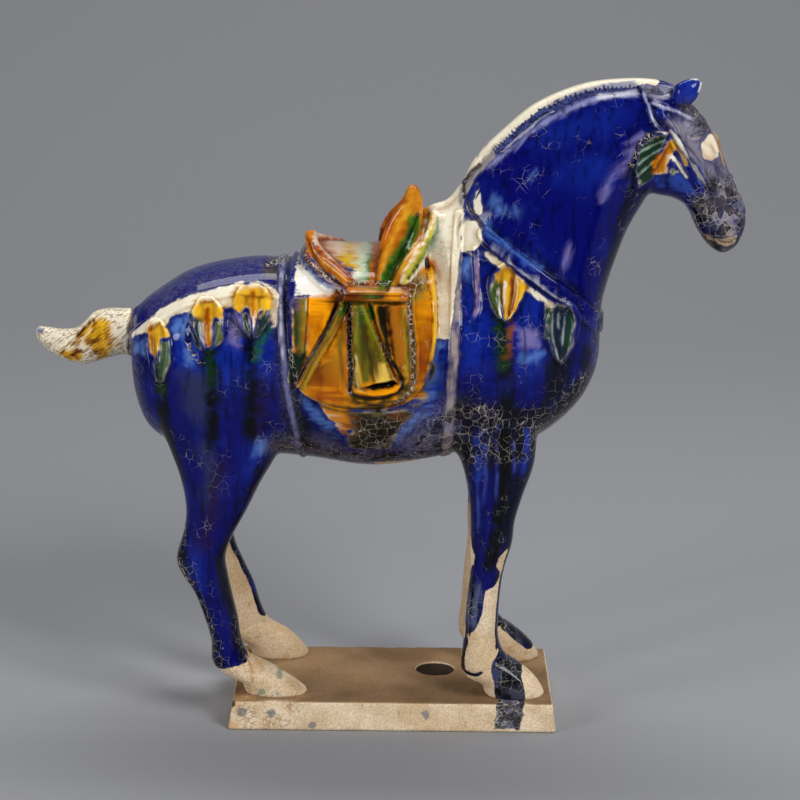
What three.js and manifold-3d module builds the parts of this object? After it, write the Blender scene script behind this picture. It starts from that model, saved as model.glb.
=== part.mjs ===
// A glazed pottery horse with its saddle, standing foursquare on a low slab plinth.
// The horse is one hollow-moulded piece, modelled solid. It faces +X and its left side is +Y.
// Sizes are in millimetres. The origin is on the centre line of the plinth's underside,
// below the saddle.
import * as THREE from "three";
import { LoftGeometry } from "three/addons/geometries/LoftGeometry.js";
import { mergeVertices } from "three/addons/utils/BufferGeometryUtils.js";
import Module from "manifold-3d";

const wasm = await Module();
wasm.setup();

// Driving sizes of the horse
const HORSE_HEIGHT = 284; // from the soles to the tip of the ears
const STRAP_WIDTH = 5;
const STRAP_RELIEF = 1.6; // how far harness straps stand off the coat
const LEAF_WIDTH = 14;
const LEAF_LENGTH = 24;
const LEAF_RELIEF = 3;
const KNOT_WIDTH = 15;
const KNOT_RELIEF = 2.6;
const BRIDLE_WIDTH = 3.4;
const BRIDLE_RELIEF = 0.9;

// Driving sizes of the plinth
const PLINTH_THICKNESS = 13.8;
const PLINTH_TOE_MARGIN = 2.8; // top edge beyond the fore toes
const PLINTH_HEEL_MARGIN = 5.4; // top edge beyond the hind heels
const PLINTH_SIDE_MARGIN = 1.3; // top edge to the outside of the hooves
const PLINTH_BATTER = 2; // how far each side slopes out down to the foot
const VENT_DIAMETER = 18; // hole that lets the kiln's heat through
const VENT_SIDES = 24;
const VENT_FORWARD = 19; // from the origin towards the head
const VENT_LEFT = 8; // from the centre line
const LUTING_GAP = 0.3; // under the soles, where slip joins the horse to the plinth

// The tables below are drawn at FORM_HEIGHT and scaled to the real height, z from the soles.
const FORM_HEIGHT = 284;
const unit = HORSE_HEIGHT / FORM_HEIGHT;
const soleZ = PLINTH_THICKNESS + LUTING_GAP;

// A form is skinned over the sections of its table, one to a row:
// [front or top x, z, back or under x, z, half width, middle y].
// Its ring has so many sides, square 2 is an ellipse, and narrowing thins the front or top.
const TORSO = [
  [-122, 168, -121.5, 150, 9],
  [-118.5, 177, -119, 134, 23],
  [-108, 185.5, -112, 120, 33],
  [-92, 194.5, -94, 111, 39.5],
  [-66, 199.5, -64, 110, 42],
  [-40, 198.5, -40, 108, 41],
  [-12, 196, -12, 104.3, 41.5],
  [14, 198, 15, 108, 41],
  [36, 202, 39, 114, 40],
  [58, 200, 60, 117, 37],
  [76, 188, 74, 126, 30],
  [86, 172, 84, 137, 21],
  [91, 158, 90, 149, 9],
];
const TORSO_SHAPE = { sides: 24, rows: 18, square: 2.2 };
const NECK = [
  [4, 215, 64, 128, 30],
  [13.5, 221.5, 82, 140, 33],
  [22, 225.5, 91, 153, 33],
  [29, 235.5, 92, 167, 31],
  [37, 248, 92.5, 180, 27.5],
  [49.5, 259.5, 95, 191, 23.5],
  [62, 269, 98.5, 202, 20],
  [81, 277.5, 103, 214.5, 17],
  [100, 280, 108.5, 225, 15],
  [117, 278.5, 113, 233, 13.5],
];
const NECK_SHAPE = { sides: 18, rows: 14, narrowing: 0.22 };
const HEAD = [
  [106, 275, 107, 240, 10],
  [119, 277.5, 110.5, 233, 13],
  [128.5, 273, 115.5, 230.5, 14.5],
  [136.5, 264, 122, 229.5, 14.5],
  [142.5, 254, 128.5, 226, 12.5],
  [147, 243.5, 131.5, 220.5, 10.3],
  [152, 233.5, 134.5, 214.5, 9.3],
  [155.6, 224, 138, 209.5, 9.6],
  [156.2, 217, 142, 205.8, 8.8],
  [153, 208, 146, 203.6, 5.6],
];
const HEAD_SHAPE = { sides: 14, rows: 13, square: 2.3, narrowing: -0.06 };
const FORE_LEG = [
  [52, 168, 24, 160, 17, 18],
  [60, 146, 20, 138, 18.5, 19.5],
  [63, 126, 23, 124, 16.5, 20.8],
  [62.5, 111, 29.5, 109, 13, 22.8],
  [57.5, 96, 32.5, 95, 11, 24],
  [54, 84, 33.5, 84, 9.8, 24.7],
  [53, 74, 33.7, 73, 9.8, 25],
  [49.5, 61, 34, 60, 8.4, 25],
  [48, 50, 33, 50, 7.8, 25],
  [47.3, 38, 32, 38, 7.8, 25],
  [47.5, 28, 31.3, 26, 8.4, 25],
  [50.5, 20, 30.3, 14, 9.8, 25],
  [58, 14.5, 33.5, 8.6, 10.4, 25],
  [65.5, 7.5, 40, 5.5, 10.9, 25],
  [70, 0, 41.5, 0, 11.2, 25],
];
const HIND_LEG = [
  [-68, 170, -106, 160, 16, 19],
  [-56, 154, -113, 146, 19, 19.5],
  [-52, 134, -110, 132, 18.8, 20.3],
  [-54, 115, -103.5, 116, 15.8, 21.8],
  [-61.5, 101, -98.5, 102, 13, 23.3],
  [-68, 88, -96, 89, 11, 24.5],
  [-74.5, 76, -97, 78, 9.8, 25],
  [-78, 66, -100.5, 65, 9.2, 25],
  [-77, 57, -98, 57, 8.8, 25],
  [-75, 47, -92.3, 48, 8.2, 25],
  [-72.5, 36, -88, 36, 7.8, 25],
  [-71, 26, -85, 25, 8.2, 25],
  [-67, 17.5, -84.5, 14.8, 9.6, 25],
  [-57.5, 12.5, -77.5, 8.6, 10.4, 25],
  [-47.5, 6, -71, 5.5, 10.9, 25],
  [-39.5, 0, -69.5, 0, 11.2, 25],
];
const LEG_SHAPE = { sides: 12, square: 2.3 };
// Upper rows of the legs, which lie in the coat that the harness is raised from
const SHOULDER_ROWS = 4;
const HAUNCH_ROWS = 5;
// The left side was shaped a little differently by hand: extra clay on the front of
// the hind pastern, by row, and an ear set lower
const LEFT_PASTERN_ADDED = { 9: 2, 10: 4.5, 11: 6, 12: 6, 13: 5, 14: 2, 15: -1.5 };
const LEFT_EAR_DROP = 3.2;
const MANE = [
  [9, 222, 15, 216, 2],
  [15, 225, 20, 219, 3.2],
  [22, 227.8, 27, 223, 3.8],
  [28, 236, 33, 232, 4.2],
  [34.5, 247.5, 39, 244, 4.4],
  [46.5, 259.8, 49.5, 255, 4.6],
  [61, 271.6, 63.5, 266.5, 4.8],
  [81, 280, 82.5, 275, 4.8],
  [100, 282.6, 101, 277, 4.6],
  [115, 282, 115, 276, 4.2],
  [125, 278.5, 122.5, 273, 2.6],
];
const MANE_SHAPE = { sides: 8, rows: 15, square: 3 };
// The docked tail is a twisted hank: a bound root, a waist, then a tip that flicks up.
const TAIL = [
  [-112, 176, -112, 153, 9],
  [-123, 175.5, -123, 154, 9.5],
  [-132, 175.5, -132, 152.5, 9.5],
  [-139, 174, -139, 150, 9],
  [-146, 167, -146, 149, 8],
  [-153, 165.5, -153, 151.5, 7],
  [-160, 166.5, -160, 155, 5.6],
  [-166, 167.5, -166, 161, 3],
];
const TAIL_SHAPE = { sides: 10, rows: 12 };
const EAR = [
  [120, 274, 126, 270.5, 4.2, 7],
  [121, 280, 130, 273.5, 4.6, 8],
  [126, 283.3, 132, 277, 3.4, 8.4],
  [131, 284, 133.4, 281.6, 1.4, 8.2],
];
const EAR_SHAPE = { sides: 8, rows: 5 };
// Round bosses: middle x, y, z and half sizes along x, y, z. Those off the middle are paired.
const BOSS_SIDES = 8;
const BOSS_BANDS = 5;
const EYE = [132, 10.4, 260.6, 4.2, 2.8, 2.4];
const BRIDLE_BOSS = [115, 10.6, 268.5, 3, 2.6, 3];
const FRONTLET = [138.4, 0, 252.2, 5.2, 8, 7.2];

// Saddle arches over the back, bars of eight sides. Each row of the half arch is one section:
// [x, z, y out from the middle, half length along the horse, half thickness].
const BAR_SIDES = 8;
const POMMEL = [
  [5.8, 231.4, 0, 2.8, 2.6],
  [5.4, 224.5, 6, 5.4, 2.7],
  [1.6, 216, 15, 7.8, 2.8],
  [-1.6, 208.5, 24, 7.8, 2.8],
  [-4.6, 201.5, 32, 5.6, 2.6],
  [-7.2, 196, 40, 3, 2.4],
];
const POMMEL_ROWS = 14;
const CANTLE = [
  [-40.2, 209.8, 0, 2.8, 2.8],
  [-38.4, 206.8, 10, 3, 2.9],
  [-34.2, 203.8, 20, 3.2, 2.9],
  [-28.6, 200.6, 30, 3.2, 2.8],
  [-22, 196.4, 40, 2.8, 2.4],
];
const CANTLE_ROWS = 12;
// Narrow flange in front of the pommel
const FLANGE = [
  [16, 222, 0, 2, 1.6],
  [15, 218.5, 9, 2, 1.6],
  [12.6, 213, 19, 2, 1.6],
  [8.2, 204.7, 31, 2, 1.6],
  [2.2, 196, 42, 2, 1.6],
];
const FLANGE_ROWS = 10;
// Seat between the arches
const SEAT = [
  [-45, 203, -45, 176, 18],
  [-41.5, 206.5, -41.5, 176, 28],
  [-34, 206, -34, 176, 35],
  [-22, 204.8, -22, 176, 40.5],
  [-10, 205, -10, 176, 42],
  [-2, 208.5, -2, 176, 41],
  [5, 213, 5, 178, 38],
  [11, 216, 12, 182, 30],
];
const SEAT_SHAPE = { sides: 16, rows: 8, square: 2.4 };
// Sections that bound the saddle cloth and the gathered cloth hung over it
const BLANKET_COAT = [
  [-56, 199, -56, 100, 43.4],
  [24, 199, 24, 100, 43.4],
];
const CLOTH_COAT = [
  [-56, 212, -56, 100, 46.6],
  [24, 212, 24, 100, 46.6],
];
const COAT_SHAPE = { sides: 16, rows: 1, square: 4 };
// Rolled band that the gathered cloth hangs from
const ROLL = [
  [-24.5, 196, -24.5, 187.4, 46.8],
  [4.2, 196, 4.2, 187.4, 46.8],
];
const ROLL_SHAPE = { sides: 16, rows: 1, square: 3.6 };

// Flat outlines in the side view, [x, z], cut through an enlarged coat to raise low relief
const BLANKET = [
  [-49, 207], [-49.5, 190], [-48.5, 168], [-46.5, 152], [-42, 146], [-33, 141.5], [-20, 139.5],
  [-6, 140], [2, 142.5], [10, 149], [15, 159], [17.5, 173], [17, 190], [15, 207],
];
const CLOTH_FLAP = [
  [-20.5, 191], [-20.5, 170], [-20, 152], [-14, 147.5], [-4, 146.5], [3.5, 150], [6.5, 158],
  [6.5, 172], [3, 191],
];
const CLOTH_WING = [[-24, 191], [-33, 171], [-44, 149], [-34, 147], [-23.5, 147], [-23.5, 170]];
// Straps follow a smooth curve through their points, in so many straight lengths.
const STRAP_LENGTHS = 5;
const BRIDLE_LENGTHS = 3;
const REAR_STRAP = [[-48.5, 204], [-49.5, 190], [-49.5, 165], [-48, 148], [-43, 130]];
const FRONT_STRAP = [[23.5, 226], [25.5, 205], [25, 180], [24.5, 150], [24.5, 126]];
const CRUPPER = [[-50, 192.5], [-63, 192], [-84, 189], [-97, 184.5], [-109, 177.5], [-118, 170]];
const BREAST_STRAP = [[33, 222], [44, 213], [53, 206], [64, 197], [76, 188.5], [94, 173]];
const CHEEK_STRAP = [[111, 279], [115, 268], [120, 257], [128, 244], [137, 230]];
const BROW_BAND = [[114, 270], [122, 268.5], [130, 266.5], [142, 262]];
const NOSE_BAND = [[130, 221], [140, 225], [150, 229], [158, 233]];
// Apricot-leaf pendants: three on the rump, two on the chest, each given by its top.
// LEAF_CROWN below 1 puts the widest place above the middle, and LEAF_FULLNESS below 1
// swells the sides.
const LEAF_STEPS = 4;
const LEAF_CROWN = 0.75;
const LEAF_FULLNESS = 0.8;
const LEAVES = [[-106, 178], [-84, 187], [-62, 188], [49, 205], [70, 188]];
// Top of the knot of cloth on the withers
const KNOT = [31, 224.5];

const RIGHT = -1;
const LEFT = 1;
const SIDES = [RIGHT, LEFT];

// One value of a table between its rows: a Catmull-Rom curve through column c
function between(table, row, c) {
  const last = table.length - 1;
  const i = Math.min(Math.floor(row), last - 1);
  const f = row - i;
  const at = (n) => table[Math.max(0, Math.min(last, n))][c] ?? 0;
  const [p, q, r, s] = [at(i - 1), at(i), at(i + 1), at(i + 2)];
  return q + 0.5 * f * (r - p + f * (2 * p - 5 * q + 4 * r - s + f * (3 * (q - r) + s - p)));
}

// A closed three.js geometry as a solid, its seams merged and its faces turned out
function solidOf(geometry) {
  const bare = geometry.index ? geometry.toNonIndexed() : geometry;
  const loose = new THREE.BufferGeometry().setAttribute("position", bare.getAttribute("position"));
  const merged = mergeVertices(loose, 1e-4);
  const index = merged.index.array;
  const corners = [new THREE.Vector3(), new THREE.Vector3(), new THREE.Vector3()];
  const kept = [];
  let volume = 0;
  for (let i = 0; i < index.length; i += 3) {
    const [a, b, c] = [index[i], index[i + 1], index[i + 2]];
    if (a === b || b === c || c === a) continue;
    corners.forEach((v, n) => v.fromBufferAttribute(merged.attributes.position, index[i + n]));
    volume += corners[0].dot(corners[1].clone().cross(corners[2]));
    kept.push(a, b, c);
  }
  if (volume < 0) kept.reverse();
  const made = new wasm.Mesh({
    numProp: 3,
    vertProperties: merged.attributes.position.array,
    triVerts: new Uint32Array(kept),
  });
  return new wasm.Manifold(made);
}

// A closed skin over rings of points, each ring turned so that the walls face out
function skin(rings) {
  const [first, next] = rings;
  const normal = new THREE.Vector3();
  const onward = new THREE.Vector3();
  first.forEach((p, i) => {
    normal.add(p.clone().cross(first[(i + 1) % first.length]));
    onward.add(next[i]).sub(p);
  });
  const sections = normal.dot(onward) > 0 ? rings : rings.map((ring) => [...ring].reverse());
  return solidOf(new LoftGeometry(sections, { capStart: true, capEnd: true }));
}

// A limb, trunk or head skinned over its sections. grow enlarges it all round, as a coat.
function form(table, shape, side = LEFT, grow = 0) {
  const { sides, rows = table.length - 1, square = 2, narrowing = 0 } = shape;
  const round = (v) => Math.sign(v) * Math.abs(v) ** (2 / square);
  const rings = [];
  for (let i = 0; i <= rows; i++) {
    const row = (i / rows) * (table.length - 1);
    const [ax, az, bx, bz, half, y] = [0, 1, 2, 3, 4, 5].map((c) => between(table, row, c) * unit);
    const across = new THREE.Vector2(ax - bx, az - bz);
    across.setLength(across.length() / 2 + grow);
    const middle = new THREE.Vector3((ax + bx) / 2, side * y, (az + bz) / 2 + soleZ);
    const ring = [];
    for (let j = 0; j < sides; j++) {
      const angle = (j / sides) * 2 * Math.PI;
      const [u, v] = [round(Math.cos(angle)), round(Math.sin(angle))];
      const out = (half + grow) * v * (1 - narrowing * u);
      ring.push(new THREE.Vector3(across.x * u, out, across.y * u).add(middle));
    }
    rings.push(ring);
  }
  return skin(rings);
}

// A bar bent over the back, from the right side to the left
function arch(table, rows) {
  const rightHalf = table.slice(1).map(([x, z, y, ...size]) => [x, z, -y, ...size]);
  const whole = [...rightHalf.reverse(), ...table];
  const last = whole.length - 1;
  const at = (row, c) => between(whole, Math.max(0, Math.min(last, row)), c) * unit;
  const point = (row) => new THREE.Vector3(at(row, 0), at(row, 2), at(row, 1) + soleZ);
  const rings = [];
  for (let i = 0; i <= rows; i++) {
    const row = (i / rows) * last;
    const along = point(row + 0.1).sub(point(row - 0.1)).normalize();
    const forward = new THREE.Vector3(1, 0, 0).addScaledVector(along, -along.x).normalize();
    const out = new THREE.Vector3().crossVectors(forward, along);
    const ring = [];
    for (let j = 0; j < BAR_SIDES; j++) {
      const angle = ((j + 0.5) / BAR_SIDES) * 2 * Math.PI;
      const p = point(row).addScaledVector(forward, at(row, 3) * Math.cos(angle));
      ring.push(p.addScaledVector(out, at(row, 4) * Math.sin(angle)));
    }
    rings.push(ring);
  }
  return skin(rings);
}

// A round boss, once on the middle or as a pair on both sides
function boss([x, y, z, ...halfSizes]) {
  const sides = y ? SIDES : [LEFT];
  const at = (side) =>
    new THREE.SphereGeometry(1, BOSS_SIDES, BOSS_BANDS)
      .scale(...halfSizes.map((size) => size * unit))
      .translate(x * unit, side * y * unit, z * unit + soleZ);
  return union(sides.map((side) => solidOf(at(side))));
}

// A side-view outline carried right through the horse, to both sides past its widest place
function prism(outline) {
  const reach = 2 * CLOTH_COAT[0][4] * unit;
  const shape = new THREE.Shape(outline.map(([x, z]) => new THREE.Vector2(x * unit, z * unit + soleZ)));
  const geometry = new THREE.ExtrudeGeometry(shape, { depth: 2 * reach, bevelEnabled: false });
  return solidOf(geometry.rotateX(Math.PI / 2).translate(0, reach, 0));
}

// The outline of a strap: both edges of a smooth curve, width apart
function ribbon(points, width, lengths) {
  const curve = new THREE.SplineCurve(points.map(([x, z]) => new THREE.Vector2(x, z)));
  const edge = (sign) =>
    Array.from({ length: lengths + 1 }, (_, i) => {
      const p = curve.getPoint(i / lengths);
      const t = curve.getTangent(i / lengths);
      return [p.x - (sign * t.y * width) / 2, p.y + (sign * t.x * width) / 2];
    });
  return [...edge(1), ...edge(-1).reverse()];
}

// A pointed leaf that hangs from its round top at x, z
function leaf([x, z], width, length) {
  const edge = (sign) =>
    Array.from({ length: LEAF_STEPS + 1 }, (_, i) => {
      const t = i / LEAF_STEPS;
      const swell = Math.sin(Math.PI * t ** LEAF_CROWN) ** LEAF_FULLNESS;
      return [x + (sign * width * swell) / 2, z - length * t];
    });
  return [...edge(1), ...edge(-1).slice(1, -1).reverse()];
}

function union(solids) {
  return solids.reduce((whole, next) => whole.add(next));
}

// Barrel, neck and the tops of the legs, or the same enlarged by grow
function trunk(grow) {
  return union([
    form(TORSO, TORSO_SHAPE, LEFT, grow),
    form(NECK, NECK_SHAPE, LEFT, grow),
    ...SIDES.map((side) => form(FORE_LEG.slice(0, SHOULDER_ROWS), LEG_SHAPE, side, grow)),
    ...SIDES.map((side) => form(HIND_LEG.slice(0, HAUNCH_ROWS), LEG_SHAPE, side, grow)),
  ]);
}

function body() {
  const added = (row) => LEFT_PASTERN_ADDED[row] ?? 0;
  const leftHind = HIND_LEG.map(([x, ...others], row) => [x + added(row), ...others]);
  const leftEar = EAR.map(([x, z, underX, underZ, ...others]) => {
    return [x, z - LEFT_EAR_DROP, underX, underZ - LEFT_EAR_DROP, ...others];
  });
  return union([
    trunk(0),
    form(HEAD, HEAD_SHAPE),
    form(FORE_LEG, LEG_SHAPE, RIGHT),
    form(FORE_LEG, LEG_SHAPE, LEFT),
    form(HIND_LEG, LEG_SHAPE, RIGHT),
    form(leftHind, LEG_SHAPE, LEFT),
    form(EAR, EAR_SHAPE, RIGHT),
    form(leftEar, EAR_SHAPE, LEFT),
    form(MANE, MANE_SHAPE),
    form(TAIL, TAIL_SHAPE),
    boss(EYE),
    boss(FRONTLET),
  ]);
}

function saddle() {
  const cloth = prism(CLOTH_FLAP).add(prism(CLOTH_WING));
  return union([
    form(SEAT, SEAT_SHAPE),
    arch(POMMEL, POMMEL_ROWS),
    arch(CANTLE, CANTLE_ROWS),
    arch(FLANGE, FLANGE_ROWS),
    form(ROLL, ROLL_SHAPE),
    form(BLANKET_COAT, COAT_SHAPE).intersect(prism(BLANKET)),
    form(CLOTH_COAT, COAT_SHAPE).intersect(cloth),
  ]);
}

function harness() {
  const raised = (coat, outlines) => coat.intersect(union(outlines.map(prism)));
  const straps = [REAR_STRAP, FRONT_STRAP, CRUPPER, BREAST_STRAP];
  const bridle = [CHEEK_STRAP, BROW_BAND, NOSE_BAND];
  const head = form(HEAD, HEAD_SHAPE, LEFT, BRIDLE_RELIEF);
  return union([
    raised(trunk(STRAP_RELIEF), straps.map((path) => ribbon(path, STRAP_WIDTH, STRAP_LENGTHS))),
    raised(trunk(LEAF_RELIEF), LEAVES.map((top) => leaf(top, LEAF_WIDTH, LEAF_LENGTH))),
    raised(trunk(KNOT_RELIEF), [leaf(KNOT, KNOT_WIDTH, KNOT_WIDTH)]),
    raised(head, bridle.map((path) => ribbon(path, BRIDLE_WIDTH, BRIDLE_LENGTHS))),
    boss(BRIDLE_BOSS),
  ]);
}

function plinth() {
  const toe = Math.max(...FORE_LEG.map(([x]) => x)) * unit;
  const heel = HIND_LEG.at(-1)[2] * unit;
  const [half, middle] = FORE_LEG.at(-1).slice(4);
  const outside = (middle + half) * unit;
  const level = (grow, z) => {
    const fore = toe + PLINTH_TOE_MARGIN + grow;
    const hind = heel - PLINTH_HEEL_MARGIN - grow;
    const y = outside + PLINTH_SIDE_MARGIN + grow;
    return [[fore, y], [hind, y], [hind, -y], [fore, -y]].map(([x, w]) => new THREE.Vector3(x, w, z));
  };
  const slab = skin([level(PLINTH_BATTER, 0), level(0, PLINTH_THICKNESS)]);
  const radius = VENT_DIAMETER / 2;
  const vent = new THREE.CylinderGeometry(radius, radius, 3 * PLINTH_THICKNESS, VENT_SIDES);
  vent.rotateX(Math.PI / 2).translate(VENT_FORWARD, VENT_LEFT, PLINTH_THICKNESS / 2);
  return slab.subtract(solidOf(vent));
}

function mesh(name, solid, material) {
  const made = solid.getMesh();
  const geometry = new THREE.BufferGeometry();
  geometry.setAttribute("position", new THREE.Float32BufferAttribute(made.vertProperties, 3));
  geometry.setIndex([...made.triVerts]);
  geometry.computeVertexNormals();
  const node = new THREE.Mesh(geometry, material);
  node.name = name;
  return node;
}

const glaze = new THREE.MeshStandardMaterial({ color: 0x14207a, roughness: 0.15, metalness: 0 });
const bisque = new THREE.MeshStandardMaterial({ color: 0xd2bf9c, roughness: 0.85, metalness: 0 });

const figure = new THREE.Group();
figure.add(mesh("horse", union([body(), saddle(), harness()]), glaze));
figure.add(mesh("plinth", plinth(), bisque));

export default figure;
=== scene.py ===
import math

import bmesh
import bpy
import numpy as np
from mathutils import Matrix, Vector, noise


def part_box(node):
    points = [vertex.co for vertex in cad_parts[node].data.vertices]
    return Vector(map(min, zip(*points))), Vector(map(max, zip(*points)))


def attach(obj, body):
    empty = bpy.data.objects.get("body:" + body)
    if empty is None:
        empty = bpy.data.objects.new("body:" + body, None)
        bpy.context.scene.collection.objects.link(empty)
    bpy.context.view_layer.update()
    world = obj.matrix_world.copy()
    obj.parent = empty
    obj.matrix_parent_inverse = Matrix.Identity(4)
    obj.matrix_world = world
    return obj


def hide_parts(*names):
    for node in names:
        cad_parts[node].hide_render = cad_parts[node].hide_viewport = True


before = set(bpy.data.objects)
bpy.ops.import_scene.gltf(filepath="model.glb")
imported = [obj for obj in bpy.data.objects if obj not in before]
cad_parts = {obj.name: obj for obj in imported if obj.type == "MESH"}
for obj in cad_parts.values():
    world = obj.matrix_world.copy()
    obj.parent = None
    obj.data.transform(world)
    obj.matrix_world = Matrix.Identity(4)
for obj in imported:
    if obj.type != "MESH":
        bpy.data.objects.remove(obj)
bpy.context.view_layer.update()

# The horse's form
# Earthenware pressed in moulds: trunk, neck, head and legs were luted together and the joins
# rubbed smooth. Each form is a skin over its sections, given in millimetres above the soles.
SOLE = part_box("horse")[0].z
DRAWN_HEIGHT = 284
MM = (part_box("horse")[1].z - SOLE) / DRAWN_HEIGHT
RIGHT, LEFT = -1, 1

# Rows of a form: front or top x, z, back or under x, z, half width, middle y
TORSO = [
    [-122, 168, -121.5, 150, 9], [-118.5, 177, -119, 134, 23], [-108, 185.5, -112, 120, 33],
    [-92, 194.5, -94, 111, 39.5], [-66, 199.5, -64, 110, 42], [-40, 198.5, -40, 108, 41],
    [-12, 196, -12, 104.3, 41.5], [14, 198, 15, 108, 41], [36, 202, 39, 114, 40],
    [58, 200, 60, 117, 37], [76, 188, 74, 126, 30], [86, 172, 84, 137, 21], [91, 158, 90, 149, 9],
]
NECK = [
    [4, 215, 64, 128, 30], [13.5, 221.5, 82, 140, 33], [22, 225.5, 91, 153, 33],
    [29, 235.5, 92, 167, 31], [37, 248, 92.5, 180, 27.5], [49.5, 259.5, 95, 191, 23.5],
    [62, 269, 98.5, 202, 20], [81, 277.5, 103, 214.5, 17], [100, 280, 108.5, 225, 15],
    [117, 278.5, 113, 233, 13.5],
]
HEAD = [
    [106, 275, 107, 240, 10], [119, 277.5, 110.5, 233, 13], [128.5, 273, 115.5, 230.5, 14.5],
    [136.5, 264, 122, 229.5, 14.5], [142.5, 254, 128.5, 226, 12.5], [147, 243.5, 131.5, 220.5, 10.3],
    [152, 233.5, 134.5, 214.5, 9.3], [155.6, 224, 138, 209.5, 9.6], [156.2, 217, 142, 205.8, 8.8],
    [153, 208, 146, 203.6, 5.6],
]
FORE_LEG = [
    [52, 168, 24, 160, 17, 18], [60, 146, 20, 138, 18.5, 19.5], [63, 126, 23, 124, 16.5, 20.8],
    [62.5, 111, 29.5, 109, 13, 22.8], [57.5, 96, 32.5, 95, 11, 24], [54, 84, 33.5, 84, 9.8, 24.7],
    [53, 74, 33.7, 73, 9.8, 25], [49.5, 61, 34, 60, 8.4, 25], [48, 50, 33, 50, 7.8, 25],
    [47.3, 38, 32, 38, 7.8, 25], [47.5, 28, 31.3, 26, 8.4, 25], [50.5, 20, 30.3, 14, 9.8, 25],
    [58, 14.5, 33.5, 8.6, 10.4, 25], [65.5, 7.5, 40, 5.5, 10.9, 25], [70, 0, 41.5, 0, 11.2, 25],
]
HIND_LEG = [
    [-68, 170, -106, 160, 16, 19], [-56, 154, -113, 146, 19, 19.5], [-52, 134, -110, 132, 18.8, 20.3],
    [-54, 115, -103.5, 116, 15.8, 21.8], [-61.5, 101, -98.5, 102, 13, 23.3], [-68, 88, -96, 89, 11, 24.5],
    [-74.5, 76, -97, 78, 9.8, 25], [-78, 66, -100.5, 65, 9.2, 25], [-77, 57, -98, 57, 8.8, 25],
    [-75, 47, -92.3, 48, 8.2, 25], [-72.5, 36, -88, 36, 7.8, 25], [-71, 26, -85, 25, 8.2, 25],
    [-67, 17.5, -84.5, 14.8, 9.6, 25], [-57.5, 12.5, -77.5, 8.6, 10.4, 25],
    [-47.5, 6, -71, 5.5, 10.9, 25], [-39.5, 0, -69.5, 0, 11.2, 25],
]
# How much further forward each row of the left hind leg lies
LEFT_PASTERN_ADDED = {9: 2, 10: 4.5, 11: 6, 12: 6, 13: 5, 14: 2, 15: -1.5}
TAIL = [
    [-112, 176, -112, 153, 9], [-123, 175.5, -123, 154, 9.5], [-132, 175.5, -132, 152.5, 9.5],
    [-139, 174, -139, 150, 9], [-146, 167, -146, 149, 8], [-153, 165.5, -153, 151.5, 7],
    [-160, 166.5, -160, 155, 5.6], [-166, 167.5, -166, 161, 3],
]


def between(table, row):
    """The values of a table at any place between its rows, on a smooth curve through them."""
    table = np.array(table, float)
    last = len(table) - 1
    first = np.minimum(np.floor(row).astype(int), last - 1)
    f = (row - first)[..., None]
    p, q, r, s = (table[np.clip(first + step, 0, last)] for step in (-1, 0, 1, 2))
    return q + 0.5 * f * (r - p + f * (2 * p - 5 * q + 4 * r - s + f * (3 * (q - r) + s - p)))


def bend_grid(shell, rows, sides, place):
    """A flat grid rolled into a closed skin: place says where each row and angle of it goes."""
    grid = bmesh.ops.create_grid(shell, x_segments=rows, y_segments=sides, size=1)["verts"]
    flat = np.array([v.co[:2] for v in grid])
    where = place((flat[:, 0] + 1) / 2, (flat[:, 1] + 1) * math.pi)
    for v, (x, y, z) in zip(grid, where):
        v.co = (x * MM, y * MM, z * MM + SOLE)
    bmesh.ops.remove_doubles(shell, verts=grid, dist=0.001 * MM)
    open_edges = [e for e in shell.edges if e.is_boundary]
    bmesh.ops.holes_fill(shell, edges=open_edges, sides=0)


def rounded(value, square):
    return np.sign(value) * np.abs(value) ** (2 / square)


def add_form(shell, table, square=2, narrowing=0, side=RIGHT, rows=110, sides=72):
    """A limb, trunk or head over its sections. Square 2 is an ellipse; narrowing thins the front."""
    table = [row + [0] * (6 - len(row)) for row in table]

    def place(along, angle):
        top_x, top_z, low_x, low_z, half, middle = between(table, along * (len(table) - 1)).T
        u = rounded(np.cos(angle), square)
        v = rounded(np.sin(angle), square)
        x = (top_x + low_x + (top_x - low_x) * u) / 2
        z = (top_z + low_z + (top_z - low_z) * u) / 2
        return np.stack([x, side * middle + half * v * (1 - narrowing * u), z], 1)

    bend_grid(shell, rows, sides, place)


def mesh_of(shell, name):
    mesh = bpy.data.meshes.new(name)
    shell.to_mesh(mesh)
    shell.free()
    return mesh


def in_scene(name, data):
    """A new object that shows a mesh, a lens or a lamp."""
    holder = bpy.data.objects.new(name, data)
    bpy.context.scene.collection.objects.link(holder)
    return holder


def add_remesh(holder, voxel):
    remesh = holder.modifiers.new("remesh", "REMESH")
    remesh.mode = "VOXEL"
    remesh.voxel_size = voxel * MM


def as_modified(holder):
    """A new mesh of an object as its modifiers leave it."""
    seen = holder.evaluated_get(bpy.context.evaluated_depsgraph_get())
    return bpy.data.meshes.new_from_object(seen)


def fused(shell, voxel):
    """One skin round all the overlapping forms of a shell, its points a voxel apart."""
    bmesh.ops.recalc_face_normals(shell, faces=shell.faces)
    forms = mesh_of(shell, "forms")
    holder = in_scene("forms", forms)
    add_remesh(holder, voxel)
    skin = as_modified(holder)
    bpy.data.objects.remove(holder)
    bpy.data.meshes.remove(forms)
    return skin


def drawn(mesh):
    """A mesh's points in the tables' own millimetres, z above the soles."""
    flat = np.empty(len(mesh.vertices) * 3)
    mesh.vertices.foreach_get("co", flat)
    return (flat.reshape(-1, 3) - (0, 0, SOLE)) / MM


def redraw(mesh, points):
    mesh.vertices.foreach_set("co", (points * MM + (0, 0, SOLE)).ravel())
    mesh.update()


def normals_of(mesh):
    flat = np.empty(len(mesh.vertices) * 3, np.float32)
    mesh.vertex_normals.foreach_get("vector", flat)
    return flat.reshape(-1, 3)


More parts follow.
